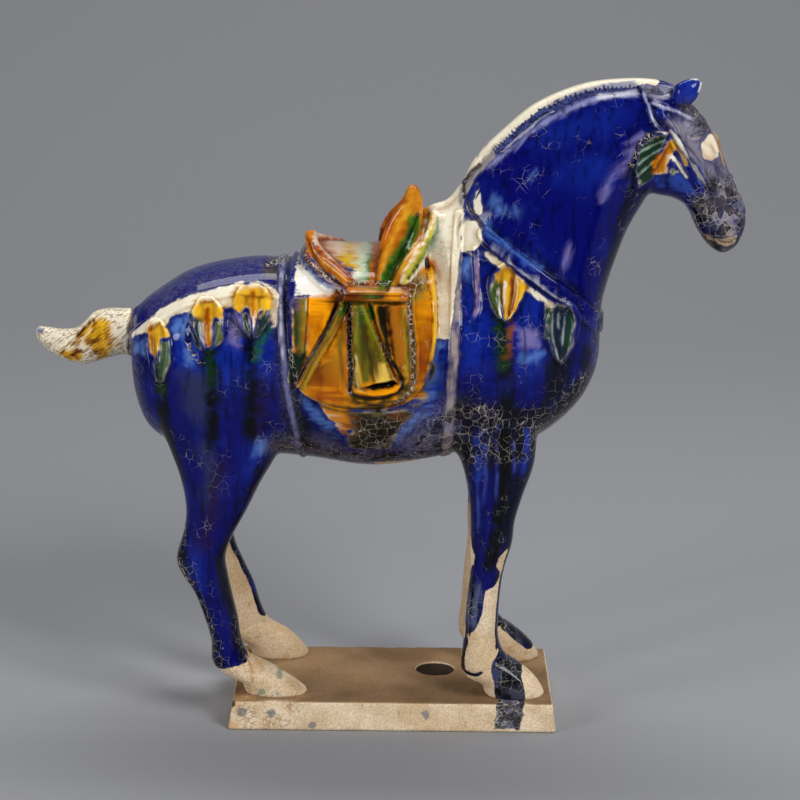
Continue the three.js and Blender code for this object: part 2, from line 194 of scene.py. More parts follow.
def rubbed(mesh, points, times, share):
    """Points of a mesh after each has gone share of half way to its neighbours' middle, times over."""
    ends = np.empty(len(mesh.edges) * 2, int)
    mesh.edges.foreach_get("vertices", ends)
    a, b = ends.reshape(-1, 2).T
    count = len(points)
    neighbours = np.bincount(ends, minlength=count)[:, None]
    share = np.broadcast_to(share, count)[:, None]
    points = points.copy()
    for _ in range(times):
        total = np.stack(
            [np.bincount(a, points[b, k], count) + np.bincount(b, points[a, k], count) for k in range(3)], 1
        )
        points += share / 2 * (total / neighbours - points)
    return points


def ramp(value, start, end):
    """0 before start, 1 past end, and a smooth turn between."""
    t = np.clip((value - start) / (end - start), 0, 1)
    return t * t * (3 - 2 * t)


trunk = bmesh.new()
add_form(trunk, TORSO, square=2.2, rows=150, sides=120)
add_form(trunk, NECK, narrowing=0.22, rows=120, sides=96)
add_form(trunk, HEAD, square=2.3, narrowing=-0.06)
add_form(trunk, TAIL)
for side in (RIGHT, LEFT):
    added = LEFT_PASTERN_ADDED if side == LEFT else {}
    hind = [[row[0] + added.get(i, 0)] + row[1:] for i, row in enumerate(HIND_LEG)]
    add_form(trunk, FORE_LEG, square=2.3, side=side)
    add_form(trunk, hind, square=2.3, side=side)
BODY_VOXEL = 0.8
body = fused(trunk, BODY_VOXEL)
points = drawn(body)
x, y, z = points.T
# The joins were rubbed over most where legs and neck meet the trunk, least on the slim parts
trunk_share = ramp(z, 84, 104) * (1 - 0.8 * ramp(x, 98, 112)) * (1 - 0.8 * ramp(-x, 118, 124))
redraw(body, rubbed(body, points, 50, 0.2 + 0.8 * trunk_share))

# The saddle and what hangs over it
# A saddle cloth pressed on both flanks, a gathered cloth hung over it from a rolled band, and a
# seat between two arches: slabs and coils of the same clay, luted on and fired with the horse.
# Side-view outlines, x and z, of the saddle cloth and of the gathered cloth's flap and wing
BLANKET = [
    [-49, 207], [-49.5, 190], [-48.5, 168], [-46.5, 152], [-42, 146], [-33, 141.5], [-20, 139.5],
    [-6, 140], [2, 142.5], [10, 149], [15, 159], [17.5, 173], [17, 190], [15, 207],
]
CLOTH_FLAP = [
    [-20.5, 191], [-20.5, 170], [-20, 152], [-14, 147.5], [-4, 146.5], [3.5, 150], [6.5, 158],
    [6.5, 172], [3, 191],
]
CLOTH_WING = [[-24, 191], [-33, 171], [-44, 149], [-34, 147], [-23.5, 147], [-23.5, 170]]
# Top z, foot z and half width of each flat-sided sheet
BLANKET_COAT = (199, 100, 43.4)
CLOTH_COAT = (212, 100, 44)
COAT_SQUARE = 4
SEAT = [
    [-45, 203, -45, 176, 18], [-41.5, 206.5, -41.5, 176, 28], [-34, 206, -34, 176, 35],
    [-22, 204.8, -22, 176, 40.5], [-10, 205, -10, 176, 42], [-2, 208.5, -2, 176, 41],
    [5, 213, 5, 178, 38], [11, 216, 12, 182, 30],
]
ROLL = [[-24.5, 196, -24.5, 187.4, 46.8], [4.2, 196, 4.2, 187.4, 46.8]]
# Rows of half an arch: x, z, y out from the middle, half length along the horse, half thickness
POMMEL = [
    [5.8, 231.4, 0, 2.8, 2.6], [5.4, 224.5, 6, 5.4, 2.7], [1.6, 216, 15, 7.8, 2.8],
    [-1.6, 208.5, 24, 7.8, 2.8], [-4.6, 201.5, 32, 5.6, 2.6], [-7.2, 196, 40, 3, 2.4],
]
CANTLE = [
    [-40.2, 209.8, 0, 2.8, 2.8], [-38.4, 206.8, 10, 3, 2.9], [-34.2, 203.8, 20, 3.2, 2.9],
    [-28.6, 200.6, 30, 3.2, 2.8], [-22, 196.4, 40, 2.8, 2.4],
]
FLANGE = [
    [16, 222, 0, 2, 1.6], [15, 218.5, 9, 2, 1.6], [12.6, 213, 19, 2, 1.6], [8.2, 204.7, 31, 2, 1.6],
    [2.2, 196, 42, 2, 1.6],
]


def inside_by(x, z, outline):
    """How far inside a closed side-view outline each point lies, in millimetres; negative outside."""
    nearest = np.full(x.shape, np.inf)
    within = np.zeros(x.shape, bool)
    for (ax, az), (bx, bz) in zip(outline, outline[1:] + outline[:1]):
        dx, dz = bx - ax, bz - az
        t = np.clip(((x - ax) * dx + (z - az) * dz) / (dx * dx + dz * dz), 0, 1)
        nearest = np.minimum(nearest, np.hypot(x - ax - t * dx, z - az - t * dz))
        if dz:
            within ^= ((az > z) != (bz > z)) & (x < (z - az) / dz * dx + ax)
    return np.where(within, nearest, -nearest)


FAR_OFF = 14


def off_path(x, z, path, pieces=18):
    """Distance of each point from a smooth side-view path, and how far along it that is, 0 to 1."""
    curve = between(path, np.linspace(0, len(path) - 1, pieces + 1))
    (low_x, low_z), (high_x, high_z) = curve.min(0) - FAR_OFF, curve.max(0) + FAR_OFF
    close = np.flatnonzero((x > low_x) & (x < high_x) & (z > low_z) & (z < high_z))
    close_x, close_z = x[close], z[close]
    nearest = np.full(close.shape, float(FAR_OFF))
    along = np.zeros(close.shape)
    for i, ((ax, az), (bx, bz)) in enumerate(zip(curve[:-1], curve[1:])):
        dx, dz = bx - ax, bz - az
        t = np.clip(((close_x - ax) * dx + (close_z - az) * dz) / (dx * dx + dz * dz), 0, 1)
        d = np.hypot(close_x - ax - t * dx, close_z - az - t * dz)
        along = np.where(d < nearest, (i + t) / pieces, along)
        nearest = np.minimum(nearest, d)
    distance = np.full(x.shape, float(FAR_OFF))
    distance[close] = nearest
    place = np.zeros(x.shape)
    place[close] = along
    return distance, place


def hang_sheet(points, outline, coat, edge):
    """Pushes the flanks out to a flat-sided sheet within its outline, down at the edge."""
    x, y, z = points.T
    top, foot, half = coat
    across = np.abs((z - (top + foot) / 2) / ((top - foot) / 2))
    reach = half * np.clip(1 - across ** COAT_SQUARE, 0, 1) ** (1 / COAT_SQUARE)
    push = np.clip(reach - np.abs(y), 0, None) * ramp(inside_by(x, z, outline), 0, edge)
    out = points.copy()
    out[:, 1] += np.sign(y) * push
    return out


def add_arch(shell, table, rows=90, sides=28):
    """A bar bent over the back from one flank to the other."""
    right_half = [[row[0], row[1], -row[2], *row[3:]] for row in table[1:]]
    whole = right_half[::-1] + table
    last = len(whole) - 1

    def place(along, angle):
        row = along * last
        at = between(whole, row)
        step = between(whole, np.minimum(row + 0.1, last)) - between(whole, np.maximum(row - 0.1, 0))
        run = step[:, [0, 2, 1]] / np.linalg.norm(step[:, :3], axis=1)[:, None]
        forward = np.array([1, 0, 0]) - run * run[:, :1]
        forward /= np.linalg.norm(forward, axis=1)[:, None]
        out = np.cross(forward, run)
        wide = at[:, 3] * np.cos(angle)
        thick = at[:, 4] * np.sin(angle)
        return at[:, [0, 2, 1]] + forward * wide[:, None] + out * thick[:, None]

    bend_grid(shell, rows, sides, place)


points = drawn(body)
points = hang_sheet(points, BLANKET, BLANKET_COAT, 1.6)
points = hang_sheet(points, CLOTH_WING, CLOTH_COAT, 1.4)
points = hang_sheet(points, CLOTH_FLAP, CLOTH_COAT, 1.4)
redraw(body, points)

# Mane, ears and the small bosses of the bridle
# The mane is a strip of clay along the crest, cut with a comb. Ears, eyes, the round plate on
# the forehead and the bridle's knobs were made by hand and pressed on.
MANE = [
    [9, 222, 15, 216, 2], [15, 225, 20, 219, 3.2], [22, 227.8, 27, 223, 3.8], [28, 236, 33, 232, 4.2],
    [34.5, 247.5, 39, 244, 4.4], [46.5, 259.8, 49.5, 255, 4.6], [61, 271.6, 63.5, 266.5, 4.8],
    [81, 280, 82.5, 275, 4.8], [100, 282.6, 101, 277, 4.6], [115, 282, 115, 276, 4.2],
    [125, 278.5, 122.5, 273, 2.6],
]
EAR = [
    [120, 274, 126, 270.5, 4.2, 7], [121, 280, 130, 273.5, 4.6, 8], [126, 283.3, 132, 277, 3.4, 8.4],
    [131, 284, 133.4, 281.6, 1.4, 8.2],
]
LEFT_EAR_DROP = 3.2
# Middle x, y, z and half sizes of each boss
EYE = [132, 10.4, 260.6, 4.2, 2.8, 2.4]
BRIDLE_BOSS = [115, 10.6, 268.5, 3, 2.6, 3]
FRONTLET = [138.4, 0, 252.2, 5.2, 8, 7.2]


def add_boss(shell, boss, side):
    x, y, z, *half = boss
    place = Matrix.Translation((x * MM, side * y * MM, z * MM + SOLE))
    size = Matrix.Diagonal([h * MM for h in half]).to_4x4()
    bmesh.ops.create_uvsphere(shell, u_segments=28, v_segments=18, radius=1, matrix=place @ size)


dressed = bmesh.new()
for side in (RIGHT, LEFT):
    add_boss(dressed, EYE, side)
    add_boss(dressed, BRIDLE_BOSS, side)
add_boss(dressed, FRONTLET, RIGHT)
for side in (RIGHT, LEFT):
    drop = LEFT_EAR_DROP if side == LEFT else 0
    ear = [[top_x, top_z - drop, low_x, low_z - drop, *rest] for top_x, top_z, low_x, low_z, *rest in EAR]
    add_form(dressed, ear, side=side, rows=40, sides=36)
add_form(dressed, MANE, square=3, sides=40)
add_form(dressed, SEAT, square=2.4)
add_form(dressed, ROLL, square=3.6, rows=40)
for table in (POMMEL, CANTLE, FLANGE):
    add_arch(dressed, table)
dressed.from_mesh(body)
bpy.data.meshes.remove(body)
FINE_VOXEL = 0.65
skin = fused(dressed, FINE_VOXEL)
redraw(skin, rubbed(skin, drawn(skin), 4, 1))

# Straps, pendants and folds
# Low relief that came out of the mould with the horse, sharpened with a wooden tool while the
# clay was soft. Places are x and z in the side view, the same on both flanks.
CRUPPER = [[-121, 165], [-111.6, 173.6], [-98, 183], [-84, 187.6], [-70, 190], [-50, 188.6]]
BREAST_STRAP = [[38.3, 215.2], [50, 206], [63.2, 197.2], [74.9, 188.7], [87.1, 176.7], [92, 172]]
REAR_STRAP = [[-52.6, 198], [-52.2, 186], [-51, 168], [-49.6, 150], [-46.6, 134], [-43, 112]]
FRONT_STRAP = [[27, 222], [25.6, 203.5], [25.3, 185.8], [24.7, 168], [23.8, 150], [23, 132], [22, 112]]
STRAP_END = [[33.8, 208.9], [34.4, 198.3], [35.1, 185.9], [32.5, 179]]
CHEEK_STRAP = [[116.5, 267], [120.2, 262.8], [124, 255.7], [130.9, 247.4], [138.5, 235.5]]
HEADSTALL = [[107.6, 279.6], [109, 272.8], [112, 263.9], [116.8, 259.2]]
BROW_BAND = [[112.8, 272.7], [118.2, 271], [126.7, 267.5], [134.5, 264.6]]
NOSE_BAND = [[129, 228.4], [135.5, 230.4], [141.3, 235], [146, 237.6], [151, 240.5]]
# Path, half width and height of each flat band
BANDS = [
    (CRUPPER, 2.1, 0.8), (BREAST_STRAP, 3.5, 1.3), (REAR_STRAP, 1.5, 1), (FRONT_STRAP, 2.3, 0.8),
    (STRAP_END, 1.3, 0.7), (CHEEK_STRAP, 1.2, 1.2), (HEADSTALL, 1, 0.8), (BROW_BAND, 1.2, 0.8),
    (NOSE_BAND, 1.1, 0.7),
]
PAD_FRONT = [
    [13.6, 205], [16.2, 186.2], [15.7, 170.2], [13.2, 156], [8.3, 147.6], [1.8, 142.2], [-8.3, 138.6],
    [-18.8, 138.6], [-30, 140.4], [-39.6, 145.2], [-43.6, 148.6],
]
PAD_REAR = [[-47.6, 205], [-47.9, 190], [-46.6, 178.6], [-46.4, 165], [-48, 156], [-46, 149.5], [-43, 146]]
PAD_STRIPE = [
    [7.6, 202], [6.4, 186], [8.6, 168], [8, 154], [4, 147], [-3, 144.6], [-12, 143.6], [-20, 144.4],
]
WING_OUTER = [[-26.6, 187], [-33, 173.6], [-40.4, 161], [-46.6, 151.6]]
WING_EDGE = [[-25, 187], [-31.6, 173.7], [-38.6, 162.9], [-44.2, 150.6]]
WING_CREASE = [[-22.4, 185], [-28.4, 172.6], [-34.8, 161.4], [-39.8, 151.6]]
CLOTH_SLIT = [[-21.7, 187.1], [-21.4, 168.4], [-20.9, 155], [-21.3, 148.2]]
TRUMPET_LEFT = [[-20, 187.3], [-19.8, 172.2], [-18.9, 159.8], [-17.8, 150]]
TRUMPET_RIGHT = [[-15.2, 187.4], [-11.2, 177.7], [-6.8, 166.1], [-3.2, 154]]
FOLD_SLIT = [[-12.6, 187.4], [-8.6, 175], [-4.6, 164.4], [-0.8, 155.5]]
TUBE_LEFT = [[-5, 187.5], [-3.4, 173.3], [-1.2, 161.7], [0.6, 155]]
TUBE_RIGHT = [[2, 187.5], [3.6, 173.4], [4.6, 160], [4.4, 153]]
CLOTH_CURL = [[3.2, 160], [2.8, 153.4], [-2, 149], [-10, 147.4], [-18, 148.6]]
CLOTH_MOUTH = [[-15.4, 150.6], [-10, 153], [-2, 153.6], [0.4, 152], [-4, 149.8], [-11, 149]]
POMMEL_GROOVE = [[8.4, 222], [4.6, 214.3], [0.3, 206.2], [-5, 195.4]]
CANTLE_GROOVE = [[-41.6, 209.6], [-38, 204.2], [-32.8, 199.6], [-26.7, 196], [-22.3, 194]]
WITHER_SEAM = [[35.5, 243.9], [28.6, 235], [31, 225.2], [36.9, 218.6], [50, 210], [64, 201], [78, 190.5]]
KNOT_EDGE = [[26.4, 209], [26, 218], [29, 224], [33.5, 224.6]]
JAW_LINE = [[109.2, 259], [105.8, 254.2], [104.2, 247], [103.4, 236]]
CHEEK_FLUTES = [
    [[117.2, 256.9], [111, 254.4], [105.2, 251.3]], [[117, 253.9], [110.6, 250.2], [105.1, 246]],
    [[114.8, 249.2], [109.6, 245], [104.9, 240.6]],
]
# Path, half width and height of each rounded bead, or depth of each groove where below zero
BEADS = [
    (PAD_FRONT, 1, 0.6), (PAD_REAR, 1.1, 0.7), (PAD_STRIPE, 0.8, 0.4), (WING_EDGE, 1.7, 1.7),
    (WING_OUTER, 1.5, -1.2), (WING_CREASE, 0.8, -0.5), (CLOTH_SLIT, 1.5, -2.4), (FOLD_SLIT, 1.3, -1.6),
    (CLOTH_CURL, 2, 1.6), (POMMEL_GROOVE, 2, -1.3), (CANTLE_GROOVE, 1.1, -1),
    (WITHER_SEAM, 1.2, -0.9), (KNOT_EDGE, 0.9, -0.5), (JAW_LINE, 1.6, -0.8),
    ([[-40, 190], [-40.3, 177], [-41.6, 163]], 1, -0.7),
    ([[-24.6, 192.2], [-12, 192], [3.6, 192.3]], 0.9, -0.8),
    (CHEEK_FLUTES[0], 1.1, 0.7), (CHEEK_FLUTES[1], 1.1, 0.7), (CHEEK_FLUTES[2], 1.2, 0.7),
    ([[119.4, 257.5], [115.6, 251], [112.6, 245]], 1.3, 1),
    ([[119.6, 257], [123.4, 250], [127.4, 243.4]], 1.1, 0.9),
    ([[121.4, 250.8], [124.4, 245.4], [128, 240]], 0.9, -0.5),
    ([[129, 248], [133.6, 241], [137.6, 233.6]], 1.5, -0.7),
    ([[128.8, 259], [132, 260.6], [135.8, 260.9]], 0.9, -1.1),
    ([[127.4, 260.6], [131, 263.9], [135.6, 263.6]], 1, 0.7),
    ([[127.8, 257.6], [131.6, 257.6], [135.4, 258.8]], 0.9, 0.5),
    ([[150.2, 228.2], [153.4, 226.2], [152.6, 223]], 1.2, -1.6),
    ([[147.6, 228], [150.8, 230.8], [154.6, 228.2], [154.6, 222.6], [150.4, 221.6]], 1.1, 0.8),
    ([[152, 211.8], [147.6, 209.8], [142, 211.6]], 0.8, -0.9),
    ([[-121.4, 176], [-122.6, 168], [-121.8, 154]], 1.2, -0.9),
    ([[-137.3, 173.1], [-143.4, 167], [-149.9, 160.4], [-154.4, 154]], 1.1, -0.8),
    ([[42.4, 122], [43.4, 92], [41.6, 70], [38.6, 50], [37.6, 34]], 1.5, -0.5),
    ([[50, 124], [49, 96], [46.6, 72], [44, 52], [43.4, 32]], 1.6, 0.4),
    ([[-93.6, 66], [-90, 50], [-84, 34], [-79.6, 24]], 1.4, -0.7),
    ([[-84, 72], [-81.6, 56], [-78.4, 38], [-75, 24]], 1.5, 0.4),
    ([[32.6, 10], [43, 15], [54, 18.6], [61, 13.6]], 1, -0.4),
    ([[-81, 11], [-72, 15.6], [-64, 18], [-55, 13]], 1, -0.4),
]


def bell(distance, half):
    return 1 - ramp(distance, 0, half)


def rolled_fold(x, z, left, right, height):
    """A round fold between two edges that run downwards."""
    (left_x, left_z), (right_x, right_z) = np.transpose(left[::-1]), np.transpose(right[::-1])
    low = np.interp(z, left_z, left_x)
    high = np.interp(z, right_z, right_x)
    across = np.clip((2 * x - low - high) / (high - low), -1, 1)
    ends = ramp(z, left_z[0] - 1, left_z[0] + 2) * (1 - ramp(z, left_z[-1], left_z[-1] + 1))
    return height * np.sqrt(1 - across * across) * ends


# Top x and z, width, length and how far the foot lies forward of the top
LEAVES = [
    (-107, 176.4, 12.2, 27.6, 1.4), (-84.4, 187, 15.6, 23.4, 0.8), (-64.8, 193.2, 17, 23, 0.4),
    (48.4, 204.4, 16, 26.6, -1.2), (72.4, 188.4, 16, 30, 0),
]
LEAF_LIFT, LEAF_RIM, LEAF_RIB = 1.2, 0.6, 0.8
LEAF_RIBS = 3.1
TRUMPET_LIFT, INNER_LIFT, TUBE_LIFT, MOUTH_DEPTH = 3.8, 2, 3.4, 3.4


def leaf_place(x, z, leaf):
    """Where points lie on a leaf: -1 to 1 across it and 0 to 1 down it."""
    top_x, top_z, width, length, lean = leaf
    down = (top_z - z) / length
    swell = np.sin(math.pi * np.clip(down, 0.002, 0.998) ** 0.75) ** 0.8
    return (x - top_x - lean * down) * 2 / (width * swell), down


def relief(x, z):
    """How far the low relief lifts or sinks each point of the flanks, in millimetres."""
    lift = np.zeros(x.shape)
    for path, half, height in BANDS:
        lift += height * (1 - ramp(off_path(x, z, path)[0], half - 0.5, half + 0.4))
    for path, half, height in BEADS:
        lift += height * bell(off_path(x, z, path)[0], half)
    lift += rolled_fold(x, z, TRUMPET_LEFT, TRUMPET_RIGHT, TRUMPET_LIFT)
    lift += rolled_fold(x, z, FOLD_SLIT, TUBE_LEFT, INNER_LIFT)
    lift += rolled_fold(x, z, TUBE_LEFT, TUBE_RIGHT, TUBE_LIFT)
    lift -= MOUTH_DEPTH * ramp(inside_by(x, z, CLOTH_MOUTH), -0.2, 1.2)
    for leaf in LEAVES:
        across, down = leaf_place(x, z, leaf)
        on_leaf = (1 - ramp(np.abs(across), 0.92, 1.12)) * ramp(down, -0.02, 0.05)
        on_leaf *= 1 - ramp(down, 0.95, 1.03)
        rib = (0.5 + 0.5 * np.cos(across * LEAF_RIBS * math.pi)) * ramp(down, 0.12, 0.4)
        rim = bell(np.abs(np.abs(across) - 0.85), 0.24)
        lift += on_leaf * (LEAF_LIFT * (0.6 + 0.4 * ramp(np.abs(across), 0.3, 0.8)) + LEAF_RIM * rim)
        lift += on_leaf * LEAF_RIB * rib
    return lift


COMB_TEETH, COMB_DEPTH = 88, 0.4
COMB_REACH, TOOTH_LENGTH, TOOTH_CHANGE = 1.6, 1.4, 0.8
# Waves along the crest that crowd the teeth and make them uneven
CROWDING, SLOW_WAVE, QUICK_WAVE = 61, 97, 173
MANE_FOOT = [[back, foot] for _, _, back, foot, _ in MANE[:-1]]


def comb_cuts(x, y, z):
    """The teeth marks of the comb, short strokes across each side of the mane."""
    off, along = off_path(x, z, MANE_FOOT, pieces=60)
    above = np.where(z > np.interp(x, *np.transpose(MANE_FOOT)), off, -off)
    teeth = 0.5 - 0.5 * np.cos(along * COMB_TEETH * 2 * math.pi + np.sin(along * CROWDING))
    change = TOOTH_CHANGE * np.sin(along * SLOW_WAVE) * np.sin(along * QUICK_WAVE)
    reach = COMB_REACH + teeth * (TOOTH_LENGTH + change)
    cut = ramp(reach - above, -0.4, 0.5) * ramp(above, -0.6, 0.2)
    return cut * ramp(np.abs(y), 1.6, 3) * ramp(along, 0.44, 0.56)


points = drawn(skin)
x, y, z = points.T
lift = relief(x, z) - COMB_DEPTH * comb_cuts(x, y, z)
points += normals_of(skin) * lift[:, None]
redraw(skin, rubbed(skin, points, 1, 0.6))

TRIANGLES = 196000
thinned = in_scene("thinned", skin)
thinning = thinned.modifiers.new("thin", "DECIMATE")
thinning.ratio = TRIANGLES / (2 * len(skin.polygons))
horse_mesh = as_modified(thinned)
bpy.data.objects.remove(thinned)
bpy.data.meshes.remove(skin)
horse_mesh.shade_smooth()
horse = in_scene("glazed_horse", horse_mesh)
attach(horse, "root")
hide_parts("horse")

# Where each glaze lies
# Lead glazes brushed on side by side before one firing: cobalt over most of the horse, and cream,
# amber and green on the saddle and harness, which ran into each other and down the legs.
# A daub is a paint as the eye sees it, from 0 to 255, how soft its edge is in millimetres, and where
# it was laid in the side view: closed outlines, or lines given as a path and a half width.
# Some daubs are painted light, not glaze: highlights on ridges and straps, shade in hollows, a reflection
# on the croup's top.
COBALT, BRIGHT_COBALT, SKY = (4, 9, 102), (16, 40, 146), (88, 126, 200)
VIOLET, REFLECTED_SLATE, NIGHT, INK = (122, 114, 172), (74, 80, 118), (6, 8, 40), (4, 5, 12)
PINE, LEAF_GREEN, CELADON = (16, 46, 20), (52, 104, 28), (194, 206, 178)
CREAM, WHITE, BEIGE = (246, 237, 214), (250, 247, 238), (216, 190, 162)
GOLD, PALE_GOLD, AMBER = (236, 182, 40), (232, 196, 92), (230, 146, 8)
RUST, BROWN, UMBER = (168, 84, 8), (112, 54, 8), (46, 22, 10)
MAUVE, STONE, STEEL = (156, 130, 152), (150, 144, 146), (96, 112, 150)
STRIP_INK = (22, 22, 38)

FAR_RUN = [[50, 21], [57.7, 14.5], [62, 10.8], [64.6, 8]]
HEEL_LINE = [[32.5, 29], [31.7, 20.2], [31.2, 14], [33, 12.4], [36.5, 12], [39.6, 13.2]]
BELLY_RUN = [
    [47.6, 168], [48.4, 153], [48.7, 139], [48.6, 125], [48.5, 111], [47.9, 96], [44.7, 75], [42.7, 65],
]
NECK_HIGHLIGHT = [[40, 244.5], [53.2, 255.4], [67.2, 265.6], [81.7, 272.7], [92.8, 275.8], [104.4, 277.1]]
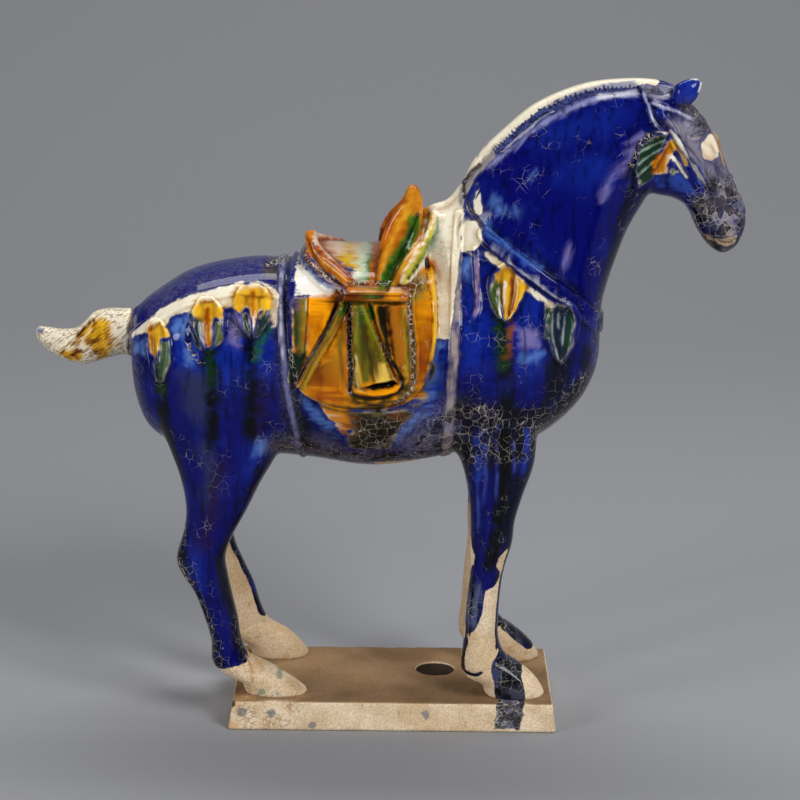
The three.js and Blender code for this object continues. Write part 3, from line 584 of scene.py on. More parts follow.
# Spots of glaze and rust on the bare clay of the near hind hoof
SPOTS = [
    ([[-53.8, 9.6], [-52.8, 8.8]], 1.5), ([[-62, 3.2], [-61, 3.4]], 2), ([[-54, 2.5], [-53.4, 2.6]], 1.2),
]
RUST_MARKS = [([[-68.8, 19], [-66, 14], [-65.4, 8]], 0.9), ([[-68.4, 4], [-63, 0.6]], 0.7)]
COBALT_DAUBS = [
    (BRIGHT_COBALT, 6, [
        [[-101, 177], [-92, 180], [-76, 181], [-56, 176], [-54, 152], [-60, 142], [-76, 150],
         [-92, 152], [-102, 160]],
        [[26, 203], [38, 203], [40, 180], [38, 158], [28, 158]],
        [[52, 192], [66, 188], [66, 156], [52, 156]], [[-66, 124], [-56, 124], [-58, 108], [-68, 104]],
        ([[-90.8, 71], [-91.1, 52]], 2), [[18, 172], [22, 171], [21, 148], [13, 140], [14, 156]]]),
    ((12, 32, 128), 8, [
        [[79, 250], [90, 250], [92, 240], [82, 234], [72, 240]], ([[66, 258], [96, 268]], 5)]),
    # Painted reflection: the croup's top in slate grey, standing for the high lamp's reflection
    (REFLECTED_SLATE, 3.5, [
        [[-114, 181.5], [-105, 187], [-98.4, 191.6], [-89.5, 195.6], [-80.6, 198], [-71.6, 199.4],
         [-61.8, 200], [-50, 198], [-44, 203], [-44, 216], [-125, 216], [-124, 181]]]),
    ((74, 64, 62), 1, [[[-61, 197.2], [-52.4, 198], [-52.4, 194.6], [-60, 194.4]]]),
    ((44, 50, 92), 5, [
        [[-96.7, 155], [-81.4, 156.8], [-80.7, 143], [-85.8, 128.6], [-95.2, 137.5]],
        ([[-86, 119], [-83, 107], [-85, 95]], 3)]),
    ((34, 14, 62), 5, [
        ([[-78.5, 109.7], [-83.3, 90.4], [-87.6, 73.5]], 2.5), ([[-60, 150], [-62, 130]], 3)]),
    (NIGHT, 2.6, [
        ([[-119, 152], [-117, 132], [-109, 106], [-99, 84], [-98, 66]], 2.4),
        [[52, 112], [62, 104], [58, 90], [54, 78], [49, 72], [46, 84], [49, 100]],
        ([[-58, 112], [-67, 94.2], [-73.6, 79.7], [-76.4, 64], [-75.9, 55], [-72.6, 40.5],
          [-69.2, 18]], 3),
        ([[64, 128], [59, 106.8], [54, 90], [51, 76]], 3.2),
        ([[29, 121.4], [32, 103.7], [34, 80], [34.6, 62]], 1.2),
        ([[109.2, 259], [105, 254], [103, 246], [103, 234], [99, 220], [96, 204], [93, 190]], 2.6),
        ([[85, 164], [84, 150], [78, 138], [70, 130]], 3),
        ([[37, 219], [50, 212], [62.7, 204.6], [80, 190.6]], 0.8)]),
    ((22, 20, 44), 5, [
        [[-60, 122], [-40, 132], [-20, 118], [4, 118], [14, 134], [25, 147], [36, 144], [50, 141],
         [63, 138], [72, 140], [84, 154], [91, 150], [80, 128], [62, 116], [20, 104], [-12, 98],
         [-52, 100]],
        [[92, 136], [101, 168], [99, 190], [104, 210], [112, 236], [107, 238], [99, 212], [92, 188]]]),
    (SKY, 1.8, [
        [[-100.6, 177], [-93, 179.6], [-92.4, 172], [-97, 170], [-100.6, 172]],
        [[-94.4, 165], [-91.2, 164.3], [-91.2, 157.3], [-93.9, 158]],
        [[-120.2, 165], [-112.8, 167], [-113, 161], [-118.8, 160]],
        [[38.4, 227], [41, 232.6], [43.4, 229.6], [48.8, 226.6], [52.6, 228], [52, 225], [49.7, 225.6],
         [44, 226]],
        [[57, 238], [58.4, 241.6], [60.4, 242.6], [59, 239.5]],
        [[37, 221.4], [39.8, 222.6], [40, 218.4], [38, 218.8]],
        [[26.6, 203.2], [31.9, 205.1], [32.2, 197], [27.1, 195]],
        [[52, 164.6], [64.6, 164.6], [62, 161], [55, 160.6]],
        [[-63, 123], [-58.6, 122], [-60, 116], [-65, 116]],
        ([[-42, 144.8], [-38.1, 138.1], [-31.9, 131.7], [-28, 126]], 1.4),
        ([[18.8, 170.9], [15.4, 164], [14.2, 155], [13.4, 146], [11, 137.4], [3.8, 130.2],
          [-1, 124]], 1.5)]),
    # Violet haze on the glaze; the line down the throat and the patch above the breast strap are lightened
    # as painted highlights
    (VIOLET, 1.8, [
        [[-75.6, 179.6], [-72, 180.8], [-68.4, 179], [-68.4, 172.4], [-71, 168], [-75.2, 168.4]],
        [[53, 175], [58.2, 176], [62.4, 173.4], [62.4, 167.4], [54, 167]],
        ([[106.5, 258.8], [103.4, 256.2], [102.2, 250.1], [97.8, 245.7], [93, 239.6],
          [90.1, 231.7]], 1.2),
        [[72.2, 203], [74.4, 210.6], [76.4, 209.4], [74.2, 202.4]]]),
    ((70, 62, 74), 3, [
        [[-60, 118], [-30, 110], [0, 106], [24, 108], [24, 113], [0, 112.5], [-30, 115], [-52, 122]]]),
    ((62, 58, 96), 2.6, [
        [[-38.2, 128], [-30.2, 128], [-25.8, 116], [-36, 117]],
        [[0, 124], [10, 129], [19, 129.6], [26, 124], [15, 117.6], [1, 114]]]),
    (INK, 1.5, [
        ([[-105.8, 155], [-105.2, 141], [-104, 126], [-99.3, 104]], 3),
        ([[-82.8, 163], [-82.3, 155.8], [-82.6, 138], [-81.9, 122]], 2.7),
        ([[-64.6, 172.5], [-64.5, 157], [-64.7, 143], [-65.9, 126]], 2.8), (BELLY_RUN, 3.4),
        ([[72.1, 161], [70.6, 149.3], [67.3, 137]], 4),
        ([[-46.6, 149], [-45.6, 141], [-42.6, 131], [-40.3, 117]], 1.8),
        ([[-46, 147], [-44, 137]], 2)]),
    ((6, 10, 34), 4, [[[65, 161], [78, 161], [77, 148], [70, 139], [66, 148]]]),
    (INK, 1.2, [([[-99, 68], [-92.8, 50], [-85.6, 27], [-83.4, 14]], 2.2)]),
    (PINE, 1.6, [
        ([[-106, 158], [-105.4, 146]], 2.6), ([[-83.4, 164], [-82.8, 152]], 2.8),
        ([[44.4, 180.5], [45, 173.2], [46, 160]], 2.8)]),
    ((34, 92, 56), 1.4, [([[-57, 177.4], [-59.4, 172.5], [-61.4, 167], [-62, 163]], 1.6)]),
    ((136, 76, 16), 1, [([[49, 182], [49.6, 173.2], [49.2, 163]], 0.7)]),
    # Painted highlights: thin light blue lines down the upper fore leg
    ((58, 76, 160), 0.8, [
        ([[40, 130], [40, 110.5], [38.9, 96]], 0.5), ([[44, 130], [44.9, 110.7], [44.7, 96.3]], 0.4),
        ([[52.2, 124.7], [53, 110.5]], 0.5), ([[36, 110], [37, 84]], 0.4)]),
    ((26, 54, 160), 1.6, [([[58.6, 128], [57.2, 109.9]], 1.2), ([[36, 128], [36.4, 106]], 1.6)]),
    ((80, 92, 132), 1.2, [[[33, 54], [39, 56], [38.6, 40], [36, 34], [32, 34]]]),
    (INK, 0.8, [
        ([[34, 57], [34.6, 51]], 1.4), ([[34.4, 46], [35, 40]], 1.2), ([[33.4, 34], [34.8, 32]], 1.6)]),
    (INK, 1, [(FAR_RUN, 2.2)]),
    ((62, 64, 80), 1.6, [[[42, 24], [60, 24], [62, -4], [44, -4]]]),
    (INK, 1, [
        (HEEL_LINE, 2), ([[46, 21], [50, 17.6]], 1.4), ([[50, 9], [56, 11]], 1.8),
        ([[47, 4], [52, 1.6]], 2)]),
    ((136, 130, 142), 2, [
        [[118, 266], [128.1, 264], [136, 262.9], [132.7, 257.2], [134.8, 249.2], [140.2, 243.5],
         [147, 238], [143, 230], [137, 236.5], [130, 248.6], [122.7, 260]],
        [[132, 230], [148, 236], [158, 222], [154, 204], [140, 204], [130, 222]]]),
    ((22, 44, 146), 1.4, [[[119, 275], [127, 285], [135, 285], [134, 276], [127, 270]]]),
    ((58, 50, 62), 1.6, [[[123, 273], [133, 273], [139, 266], [138, 260], [133, 259], [128, 265]]]),
    ((92, 88, 110), 1.5, [
        [[140, 258], [148, 247], [155, 234], [159, 224], [151, 224], [143, 240], [137, 254]]]),
    ((18, 20, 66), 1.4, [
        [[131, 226], [137, 222], [144, 219.4], [145.4, 214], [138, 211.4], [132, 218]],
        [[150, 220], [156, 226], [157, 214], [152, 212]]]),
    (INK, 0.9, [
        ([[146, 247], [148, 244]], 1.2), ([[141, 239], [143, 237]], 1.2),
        ([[150, 238], [152, 236]], 1.2), ([[136, 226], [138, 225]], 1), ([[133, 231], [135, 230]], 1.1),
        ([[139, 232], [141, 231]], 1.3), ([[144, 240], [147, 238]], 1), ([[149, 232], [152, 231]], 1),
        ([[146, 218], [149, 217]], 0.9)]),
    (INK, 1.2, [[[136, 211.6], [141, 212], [147, 205.6], [153, 207], [150, 200], [140, 200]]]),
    ((176, 150, 120), 0.8, [
        ([[138.6, 212.4], [140.4, 209]], 0.9), ([[149, 215.4], [148, 212.6]], 0.9)]),
    ((92, 116, 170), 1, [([[148.4, 229], [151.7, 226]], 1.4), ([[144, 226], [142, 216]], 0.8)]),
    ((44, 72, 164), 1, [
        [[119.3, 239], [120.8, 242.8], [125.3, 242], [130.1, 236.4], [133.2, 231.7], [127, 232.4],
         [121.5, 234.1]],
        [[113.8, 240.4], [117.6, 240.6], [118, 235.6], [114.6, 235]]]),
    (NIGHT, 0.6, [([[118.8, 242], [119.4, 235]], 0.5)]),
    ((60, 90, 172), 0.8, [[[129.8, 247.1], [133, 245], [137.2, 236.5], [136.6, 234], [132.6, 238.3]]]),
    # Painted highlights along the breast strap: light blue over its upper side, near white at its lower
    # edge
    ((66, 104, 190), 1, [([[39, 217.4], [45, 213], [53.4, 207.6], [62.7, 202]], 1.2)]),
    ((196, 196, 206), 0.5, [([[41, 210.6], [49, 204.4], [57.8, 198], [66.8, 191.4], [76, 186]], 0.35)]),
    # Painted highlights: a pale line where the neck turns up under the mane, whitest near the head
    ((150, 152, 200), 1.2, [(NECK_HIGHLIGHT, 0.9)]),
    ((222, 222, 236), 0.8, [([[88, 275], [104.4, 277.1]], 0.9)]),
    (MAUVE, 0.8, [([[34.5, 206], [34.6, 196], [34.6, 188], [33.7, 182]], 0.8)]),
    ((112, 112, 150), 0.9, [(REAR_STRAP, 1)]),
    # Painted highlight down the rear strap's ridge
    ((226, 226, 234), 0.5, [([[-52.6, 192], [-52, 178], [-51, 162]], 0.3)]),
    ((168, 154, 146), 1, [(FRONT_STRAP, 1.8)]),
    # Painted highlights along the headstall and brow band
    ((176, 180, 206), 0.6, [
        ([[107.5, 277.2], [109.5, 272.4], [111.2, 267.4], [113, 263.2]], 0.5),
        ([[111.4, 272.8], [116.3, 271.1], [122.6, 269.4], [129, 265.9]], 0.5)]),
    ((150, 148, 168), 1, [
        [[105, 281], [112.8, 280.7], [120.6, 279.7], [118.5, 274.9], [113, 273.3], [108, 277]]]),
]
SLIT_LOOP = [
    [-21.2, 147.3], [-16.7, 145.6], [-7.8, 145.2], [0.1, 148.2], [2.2, 153.3], [-0.5, 159.6],
    [-3.6, 162.9],
]
CANTLE_FOOT = [[-44, 206], [-39.7, 202.2], [-32.7, 198.2], [-25.9, 194]]
PAD_CRACKS = [[2.7, 194.4], [4.6, 186.8], [6.2, 171.9], [7, 156.1], [5.4, 148.4], [0.1, 143]]
CREAM_DAUBS = [
    # Croup, withers, crest, tail and the knot of the breast strap
    (CREAM, 1, [
        [[-121.1, 167.3], [-116.1, 172.4], [-111.4, 176.5], [-106.8, 180.1], [-102.3, 183],
         [-97.8, 185.8], [-93.2, 187.6], [-88.7, 188.7], [-79.8, 191.4], [-70.9, 193.3], [-62.8, 193.7],
         [-55.6, 192.1], [-53, 189.6], [-53, 178], [-55.6, 173], [-58, 184], [-65.6, 184],
         [-70.2, 182.4], [-73.8, 182.8], [-81.7, 182.8], [-91.5, 180.5], [-98.1, 179], [-100.8, 177.5],
         [-101.5, 174.4], [-112, 170.1], [-117.4, 168], [-120.6, 165.4]],
        [[6, 238], [11, 226], [13, 214], [12, 205], [13, 190], [14, 171.4], [22.8, 171], [25.6, 190],
         [27.4, 206], [28.6, 222], [29.6, 229], [29.4, 236], [36, 246.4], [30, 252]],
        ([[16, 222], [24, 226.6], [30, 236], [37, 247.4], [49, 260.4], [63, 272], [80.4, 279.4],
          [99.4, 282], [112, 282.4]], 2.6),
        [[-172, 180], [-120.4, 178], [-121.8, 145], [-172, 145]],
        [[26.9, 218.1], [29.6, 221], [34, 221.4], [36.6, 217.4], [37.5, 211.5], [34, 208], [27, 207]],
        [[35, 208.6], [41, 208.4], [49, 202.6], [53.4, 198.6], [58.8, 193.6], [65.1, 189.6], [69, 187],
         [67.6, 184], [64.2, 186.4], [57.5, 190.6], [50, 197], [40, 204]],
        [[34.4, 241.6], [35.6, 235], [36.8, 228], [38.4, 226], [36, 222.4], [33, 224], [32.8, 231]]]),
    (STONE, 1.2, [([[27.6, 228], [31, 236.6], [39, 246.4], [47, 253.6], [55, 259]], 1.8)]),
    ((158, 158, 178), 0.5, [
        ([[47, 253.6], [55, 260], [65.4, 268.8], [78, 275.4], [89.3, 278.6], [103, 280.4]], 1.7)]),
    ((40, 34, 52), 0.7, [
        ([[35.5, 243.9], [28.6, 235], [31, 225.2], [36.9, 218.6]], 0.7),
        ([[25.6, 214], [26.9, 218.9], [30.5, 221.6], [34.4, 221.9], [37, 217.4]], 0.3),
        ([[30.5, 207.1], [34.9, 206.2], [39.3, 208.1], [42.8, 206.7]], 0.5)]),
    (GOLD, 1, [
        [[-137.6, 171.5], [-134.3, 172.1], [-131, 170.6], [-130, 164.9], [-130.4, 157.5],
         [-133.8, 152.5], [-137.5, 153.2], [-139.4, 157.6], [-142.1, 159.4], [-143, 163],
         [-147.6, 159.6], [-149.5, 159.1], [-145.2, 165.1], [-140.5, 169.8]],
        [[-154.4, 155.3], [-150.4, 157.7], [-146.7, 158.3], [-144, 156.5], [-144.4, 152.3],
         [-150.1, 151]]]),
    (BROWN, 0.8, [
        ([[-138.6, 170.8], [-139.2, 165.1], [-142, 161.8]], 0.6), ([[-136.5, 163], [-140.2, 160]], 0.9),
        ([[-150.8, 152.9], [-146.8, 156.4], [-144, 157]], 0.6), ([[-138, 157], [-136, 156]], 1),
        ([[-140.5, 169.4], [-145.1, 164.7], [-148.6, 159.6]], 0.5)]),
    (STEEL, 1, [([[-164.4, 165.2], [-162.6, 165]], 1)]),
    ((78, 58, 78), 0.8, [([[-121, 175], [-122.1, 167.2], [-122.6, 158], [-121.6, 150]], 0.7)]),
    ((126, 140, 112), 0.8, SPOTS),
    ((190, 136, 80), 1.4, RUST_MARKS),
    # Pendants
    (GOLD, 1.2, [
        [[-112, 172.7], [-107.2, 175.6], [-101.8, 173.8], [-101.2, 169.9], [-105.4, 168.4],
         [-106.2, 163.3], [-107.6, 159], [-110.8, 162.1], [-112.2, 167.7]],
        [[-91.7, 183], [-88.3, 186], [-81.9, 186], [-77.4, 183.1], [-76.8, 179.1], [-80.6, 178.7],
         [-81.9, 176.1], [-81.7, 168.1], [-83.5, 166.4], [-86.2, 167.9], [-86.9, 176.6],
         [-91.5, 179.5]],
        [[-74.1, 188.1], [-70.7, 191.4], [-63.6, 192.6], [-58, 190.7], [-55.3, 187.6], [-55.2, 184.4],
         [-57.7, 182.6], [-61.2, 182.2], [-62.4, 176], [-64.8, 175], [-65.6, 181.4], [-67.4, 183.4],
         [-70.2, 181.4], [-73.6, 183.2]],
        [[41.5, 199.3], [44.6, 202.2], [47.6, 203.8], [51.2, 200.5], [57.9, 194.4], [55.6, 190.8],
         [54.1, 187.3], [52.4, 183.3], [49.7, 180.3], [46.6, 178.6], [44, 188], [42, 196.3]]]),
    ((78, 104, 78), 1.2, [
        [[-105.4, 168], [-101, 169], [-100.6, 160], [-104, 149.6], [-106.6, 149.6], [-107.4, 158]]]),
    ((92, 104, 54), 1, [[[-81.5, 178.4], [-77, 178.6], [-77, 170], [-81, 166]]]),
    ((30, 50, 50), 1, [
        [[-91.4, 179.5], [-87.4, 179], [-86.8, 168], [-86, 163], [-91, 167]],
        [[-69.5, 182], [-66.2, 182], [-64.8, 174], [-66, 171], [-69, 175]],
        [[-62.3, 181], [-57, 183], [-56.8, 178], [-62, 171], [-64, 171.6]],
        ([[-107.6, 158], [-106.4, 151]], 1.6)]),
    ((62, 84, 36), 0.9, [
        [[39.6, 194], [42, 196.3], [46, 195.1], [46.2, 188.2], [45.8, 180], [44, 180], [40.4, 185]]]),
    (RUST, 1, [
        ([[-84.6, 182], [-84, 168]], 1.2), ([[-64.8, 190], [-64, 179]], 0.9),
        ([[49.7, 197], [50.5, 189], [48.8, 182]], 0.9), ([[-110.4, 174], [-109.8, 162]], 0.9)]),
    # Painted highlights on the pendants' ridges
    (WHITE, 0.4, [
        ([[-86.7, 176.6], [-86.3, 172]], 0.35), ([[-82.4, 176.6], [-82.2, 172]], 0.35),
        ([[-64.3, 180], [-64, 173.4]], 0.3), ([[43.9, 192], [44.6, 186], [45.4, 180.6]], 0.35),
        ([[47.2, 196], [46.6, 184]], 0.25)]),
    ((22, 36, 56), 1.4, [
        [[65.6, 183.9], [69.6, 187], [77, 185.9], [79.4, 179.3], [78.4, 167.4], [73, 158.4],
         [68.4, 162.9], [65.4, 172.6]]]),
    ((26, 70, 34), 1.2, [([[65.6, 184], [65.4, 172]], 1.4), ([[76, 180], [74.8, 166]], 0.8)]),
    # Painted highlights on the fluted pendant
    ((150, 160, 172), 0.4, [
        ([[68, 184], [68.4, 172], [71.2, 162]], 0.35), ([[73.6, 181], [72.8, 168]], 0.3),
        ([[70.6, 182], [70.6, 176]], 0.4), ([[77.6, 178], [76, 166]], 0.25)]),
    # Saddle cloth
    (AMBER, 1, [
        [[-47.4, 189], [-47, 168], [-47, 152], [-42, 146], [-33, 141], [-20, 139], [-6, 139], [2, 141],
         [10, 145], [13.4, 155], [16.6, 166], [17.4, 176], [16.9, 188], [15.6, 203], [9, 206], [2, 203],
         [-26, 196], [-31, 192], [-40, 190]],
        [[-35.4, 142], [-21.2, 142], [-21.2, 124.7], [-27.5, 128.8]]]),
    ((184, 76, 10), 2.4, [
        ([[11.3, 172], [11.5, 157.5]], 1.6), ([[-34, 146], [-26, 145.4]], 2),
        ([[-26, 133], [-24, 127]], 2)]),
    (GOLD, 0.7, [([[13.8, 199], [16.2, 188.8], [16.4, 176.2], [15.4, 166.5], [13.2, 157]], 1)]),
    (BROWN, 0.5, [([[12, 198], [14.4, 188.8], [14.7, 176], [13.8, 166], [12, 157]], 0.3)]),
    ((34, 72, 36), 1, [[[-46.6, 186], [-42.6, 188.3], [-42.2, 166.7], [-46, 166.8]]]),
    ((14, 36, 24), 0.9, [[[-48, 167], [-40, 166], [-43.2, 155], [-46.4, 148.6], [-49, 152]]]),
    ((20, 44, 128), 0.9, [[[-46.6, 190], [-42.6, 190], [-43.4, 184.4], [-46.4, 183]]]),
    ((126, 126, 46), 0.7, [([[-41.4, 188.3], [-41.3, 177.8], [-41.6, 166.7]], 0.9)]),
    ((206, 196, 150), 0.4, [([[-40, 178], [-40.4, 167.4]], 0.25)]),
    (WHITE, 0.7, [
        [[-46.4, 199], [-43.3, 200.4], [-35.8, 197.4], [-28.4, 192.8], [-30.3, 190], [-40.9, 190],
         [-46.2, 189.6]]]),
    (UMBER, 0.9, [
        ([[-26.7, 187.4], [-28.4, 183.2], [-31.8, 174.4], [-35.3, 168], [-39.7, 161.6], [-43.2, 155.1],
          [-46.4, 149]], 1.5),
        (CLOTH_SLIT, 1.3)]),
    ((172, 136, 34), 0.7, [
        ([[-24, 187], [-26.6, 179.7], [-31.8, 170.3], [-37.1, 160.7], [-42.4, 150]], 1.4)]),
    (LEAF_GREEN, 0.8, [([[-23.6, 187.6], [-25.4, 183]], 1.2)]),
    ((134, 100, 16), 1.4, [([[-25.3, 179.6], [-25.2, 167], [-24.7, 151]], 1.2)]),
    ((168, 84, 6), 3, [
        ([[-38, 180], [-40, 172]], 1.4), ([[-30, 160], [-28, 150], [-34, 145]], 1.6),
        ([[10.6, 184], [10.8, 168], [9.6, 152]], 1.2)]),
    (BROWN, 0.6, [([[-23.1, 183], [-28.3, 171.6], [-34.4, 160.3], [-39.7, 150]], 0.35)]),
    ((112, 104, 20), 0.7, [
        [[-20, 188.2], [-15, 187.9], [-11.4, 178.8], [-7.8, 169.8], [-4.4, 160.8], [-1.4, 153.8],
         [-6, 153], [-11.4, 154.5], [-17, 151], [-19.9, 149]]]),
    ((54, 76, 16), 1.6, [([[-17.4, 187], [-15.4, 176], [-13, 166]], 1.6)]),
    ((70, 48, 6), 1.4, [([[-15, 178], [-13.2, 168], [-11.3, 160], [-10.4, 155]], 1.2)]),
    # Gold on the trumpet's left side, brightened as a painted highlight
    (GOLD, 0.8, [([[-18, 162], [-16.4, 152.6]], 0.9)]),
    ((136, 144, 40), 0.6, [
        ([[-15.8, 187.9], [-12, 178.8], [-8.4, 169.8], [-5.2, 160.8], [-2.4, 154.6]], 0.6),
        ([[-18.9, 188], [-18.6, 172]], 0.7)]),
    (PALE_GOLD, 0.8, [
        [[-8.4, 162], [-5.3, 161.2], [-1.8, 154], [-9.4, 153.4]], ([[0.9, 159.4], [2.2, 152.6]], 1.1)]),
    # Painted highlight down the trumpet's left edge
    ((228, 218, 150), 0.6, [([[-18.4, 165], [-18, 152], [-15.6, 148.6]], 0.45)]),
    ((28, 84, 30), 0.7, [[[-14, 187.8], [-10.6, 187.9], [-9.6, 178.9], [-12.4, 181.8]]]),
    ((26, 22, 8), 0.8, [
        [[-10.2, 187.9], [-5.1, 187.9], [-3.8, 172], [-1.4, 160], [-3.4, 160], [-8.1, 176.6]]]),
    ((174, 104, 16), 0.7, [
        [[-4.4, 188], [2, 188], [3.6, 174], [4.4, 160], [3.4, 151], [-0.6, 152], [0, 160], [-3, 174]]]),
    ((84, 38, 6), 0.7, [([[-4.6, 188], [-3.6, 176], [-1.8, 165]], 0.6)]),
    ((150, 136, 34), 0.6, [([[1.4, 188], [2.9, 174.6], [3.8, 161.2], [2.7, 151]], 0.7)]),
    # Ink fills the cloth's mouth as painted shade in its hollow, and draws a line round the slit's loop
    (INK, 0.5, [CLOTH_MOUTH, (SLIT_LOOP, 1)]),
    ((190, 182, 96), 0.4, [
        ([[2.3, 187], [4.6, 172], [5.4, 156], [3.2, 148.3], [-3.4, 143.7], [-10, 141.9], [-23.4, 140.6],
          [-35, 142]], 0.3)]),
    ((62, 54, 14), 2.2, [
        [[-21, 146.4], [-16, 144.6], [-6, 144.2], [1, 146.4], [5, 152], [8, 150], [3, 143.6],
         [-8, 141.2], [-20, 141.4]]]),
    ((104, 80, 40), 0.7, [(PAD_CRACKS, 1.3)]),
    ((166, 140, 52), 1.2, [[[3, 199], [11, 200], [12, 190], [5, 188]]]),
    ((54, 48, 14), 1.6, [([[15.4, 160], [12.9, 146.8], [6.8, 139.7], [1.1, 135]], 1.8)]),
    ((44, 34, 14), 3.6, [
        [[-21.2, 140], [4, 141], [11, 138.2], [2.9, 129.2], [-2, 117], [-21.3, 116.5], [-26, 123.4],
         [-22.2, 128]]]),
    ((116, 66, 14), 2.4, [
        [[-4.3, 142], [4.6, 141], [2, 135.3], [-3.4, 136.3]], ([[-20, 139], [-20, 128]], 1)]),
    ((24, 16, 8), 2, [([[-9, 140], [-8, 128], [-12, 120]], 2)]),
    ((150, 142, 84), 0.4, [([[-35.4, 140.6], [-23.4, 138], [-5.6, 137.8], [5.5, 141.1]], 0.25)]),
    # Rolled band
    ((120, 64, 12), 1, [([[-26, 194], [5, 195]], 3)]),
    ((156, 96, 18), 0.8, [([[-25, 191.4], [2.4, 191.8]], 3.4)]),
    (BROWN, 1, [([[-25, 191], [-20.4, 191.4]], 3.2)]),
    ((74, 114, 26), 0.8, [([[-14.4, 190.6], [-8.6, 190.6]], 1.8)]),
    (NIGHT, 0.6, [([[-8, 193.4], [-6.8, 189.8]], 0.9)]),
    (AMBER, 0.8, [([[-3.6, 191.4], [1.4, 191.6]], 2.4)]),
    ((208, 168, 130), 0.6, [([[-22, 194.3], [-9.6, 194.3]], 0.7), ([[-4, 194.5], [0.5, 194.6]], 0.7)]),
    ((136, 144, 42), 0.5, [([[-24.9, 188.2], [1.4, 189]], 0.5)]),
    ((40, 24, 20), 0.6, [([[-23.6, 196.3], [-4.8, 196.6]], 0.9), ([[-8.6, 197.6], [-5, 195.6]], 1.2)]),
    # Seat, pommel and cantle
    (CREAM, 0.8, [
        [[-14, 196.8], [-14, 214], [-8, 226], [0, 240], [12, 242], [26, 236], [26, 205], [12, 203],
         [5, 197]]]),
    (BEIGE, 0.9, [
        [[-41, 214], [-38, 206], [-28.6, 202.6], [-20, 201], [-10, 201], [-6, 205], [-5, 214.5],
         [-9, 220]]]),
    ((214, 172, 22), 1.1, [
        [[-28.2, 204.2], [-24.4, 205], [-19.1, 204.8], [-17.7, 203.6], [-18.2, 200.8], [-20.8, 200],
         [-24, 201.4]]]),
    (CELADON, 0.9, [
        [[-18.4, 205], [-8.8, 206], [-10, 203], [-14, 197], [-21, 197], [-20.3, 200.2],
         [-17.8, 201.2]]]),
    ((58, 112, 56), 0.9, [
        [[-14.9, 202.6], [-13.4, 204.6], [-10.1, 205.2], [-10, 203], [-10.6, 197], [-14.2, 197]]]),
    ((186, 98, 12), 0.7, [
        [[5.6, 240], [2, 233], [-0.6, 225.6], [-4.6, 221], [-9, 215.4], [-12, 207.6], [-12.6, 203],
         [-12.6, 195], [-3, 195.6], [2.2, 200], [5.6, 204.9], [10.9, 212.6], [13.6, 220.5], [11.6, 229],
         [9, 236]]]),
    ((206, 134, 30), 2.4, [[[3, 237], [1.5, 225], [5, 220], [12.4, 221], [13.5, 228], [9, 237]]]),
    # Rust-brown along the pommel's back edge, darkened as painted shade
    ((84, 34, 6), 1.3, [([[-7.8, 209], [-9.4, 204], [-9.9, 197]], 0.8)]),
    ((218, 154, 34), 1.4, [([[3.4, 225], [-1, 216], [-5.6, 207], [-8, 199]], 1.5)]),
    ((62, 108, 22), 1, [([[6.4, 219.6], [5, 214], [0.8, 207.9], [-3.1, 202.9], [-6, 197]], 2.9)]),
    ((22, 56, 12), 1.2, [([[5.4, 215], [0.8, 207.2], [-3.7, 202.2], [-6.6, 197]], 1.1)]),
    ((204, 142, 34), 0.7, [
        ([[11.4, 221], [9.6, 213.7], [5.3, 207.4], [0.9, 201.1], [-1.4, 196.3]], 1.1)]),
    ((196, 178, 60), 0.9, [
        ([[15.2, 220.4], [13.9, 214], [10.8, 208.4], [6.2, 203.2], [2.8, 198.4]], 1.7)]),
    ((124, 152, 60), 0.8, [([[14.2, 213], [11, 207.4], [7.4, 203.4]], 0.9)]),
    ((150, 182, 160), 1, [([[17, 219], [16, 213], [13.6, 207.6]], 0.9)]),
    ((60, 82, 18), 0.7, [([[8.4, 203.8], [4, 198.8]], 0.6)]),
    ((226, 200, 126), 0.7, [([[15.4, 222], [14.8, 217]], 0.8)]),
    # Painted highlight down the flange
    ((236, 228, 196), 0.4, [([[12.2, 218.6], [9.9, 213], [6, 207], [1.8, 200.6]], 0.28)]),
    (STEEL, 0.8, [([[-47, 202], [-41.9, 200.6], [-35.8, 196.8], [-30.6, 193.4]], 1)]),
    ((74, 32, 12), 0.7, [(CANTLE_FOOT, 1.5)]),
    (MAUVE, 0.6, [([[-34.6, 198], [-29.4, 195.4], [-24.1, 193.8]], 0.6)]),
    ((202, 116, 16), 0.7, [
        ([[-40.5, 213.6], [-40.9, 209.4], [-39.3, 206.1], [-34.3, 203.1], [-28.2, 200.2],
          [-21.5, 196.4]], 2.2)]),
    ((166, 80, 8), 0.8, [([[-36.6, 207.2], [-33, 205], [-26.2, 201.8], [-20.6, 197.7]], 1)]),
    # Painted highlight along the cantle's ridge
    ((238, 198, 120), 0.35, [([[-38.2, 206.4], [-33.4, 203.4], [-27.2, 200.4], [-21, 196.8]], 0.25)]),
    # Head
    ((158, 134, 108), 0.8, [
        [[140.6, 212.6], [145.9, 212.6], [151.6, 214], [152, 210], [147, 207.2], [143, 209.6]]]),
    # Painted highlight on the ear
    ((226, 226, 232), 0.5, [([[126.5, 283.6], [132.6, 283.4], [131.6, 278.4]], 0.4)]),
    ((24, 54, 40), 0.7, [
        [[118, 259.4], [112.3, 259], [106.1, 254], [104.6, 243.8], [106.2, 235.5], [113.2, 239.4],
         [113.3, 243.6], [115.1, 250.5]]]),
    ((128, 150, 140), 0.5, [(flute, 0.35) for flute in CHEEK_FLUTES]),
    ((182, 172, 162), 0.5, [([[105, 252.6], [108, 257.4], [112.4, 260.6], [118, 260]], 0.4)]),
    ((226, 148, 16), 0.6, [
        [[119.2, 258.4], [116.2, 252.8], [111.6, 246.5], [112.6, 241.4], [118.3, 241.6], [118.9, 246],
         [120.5, 250.1], [122, 253.6]]]),
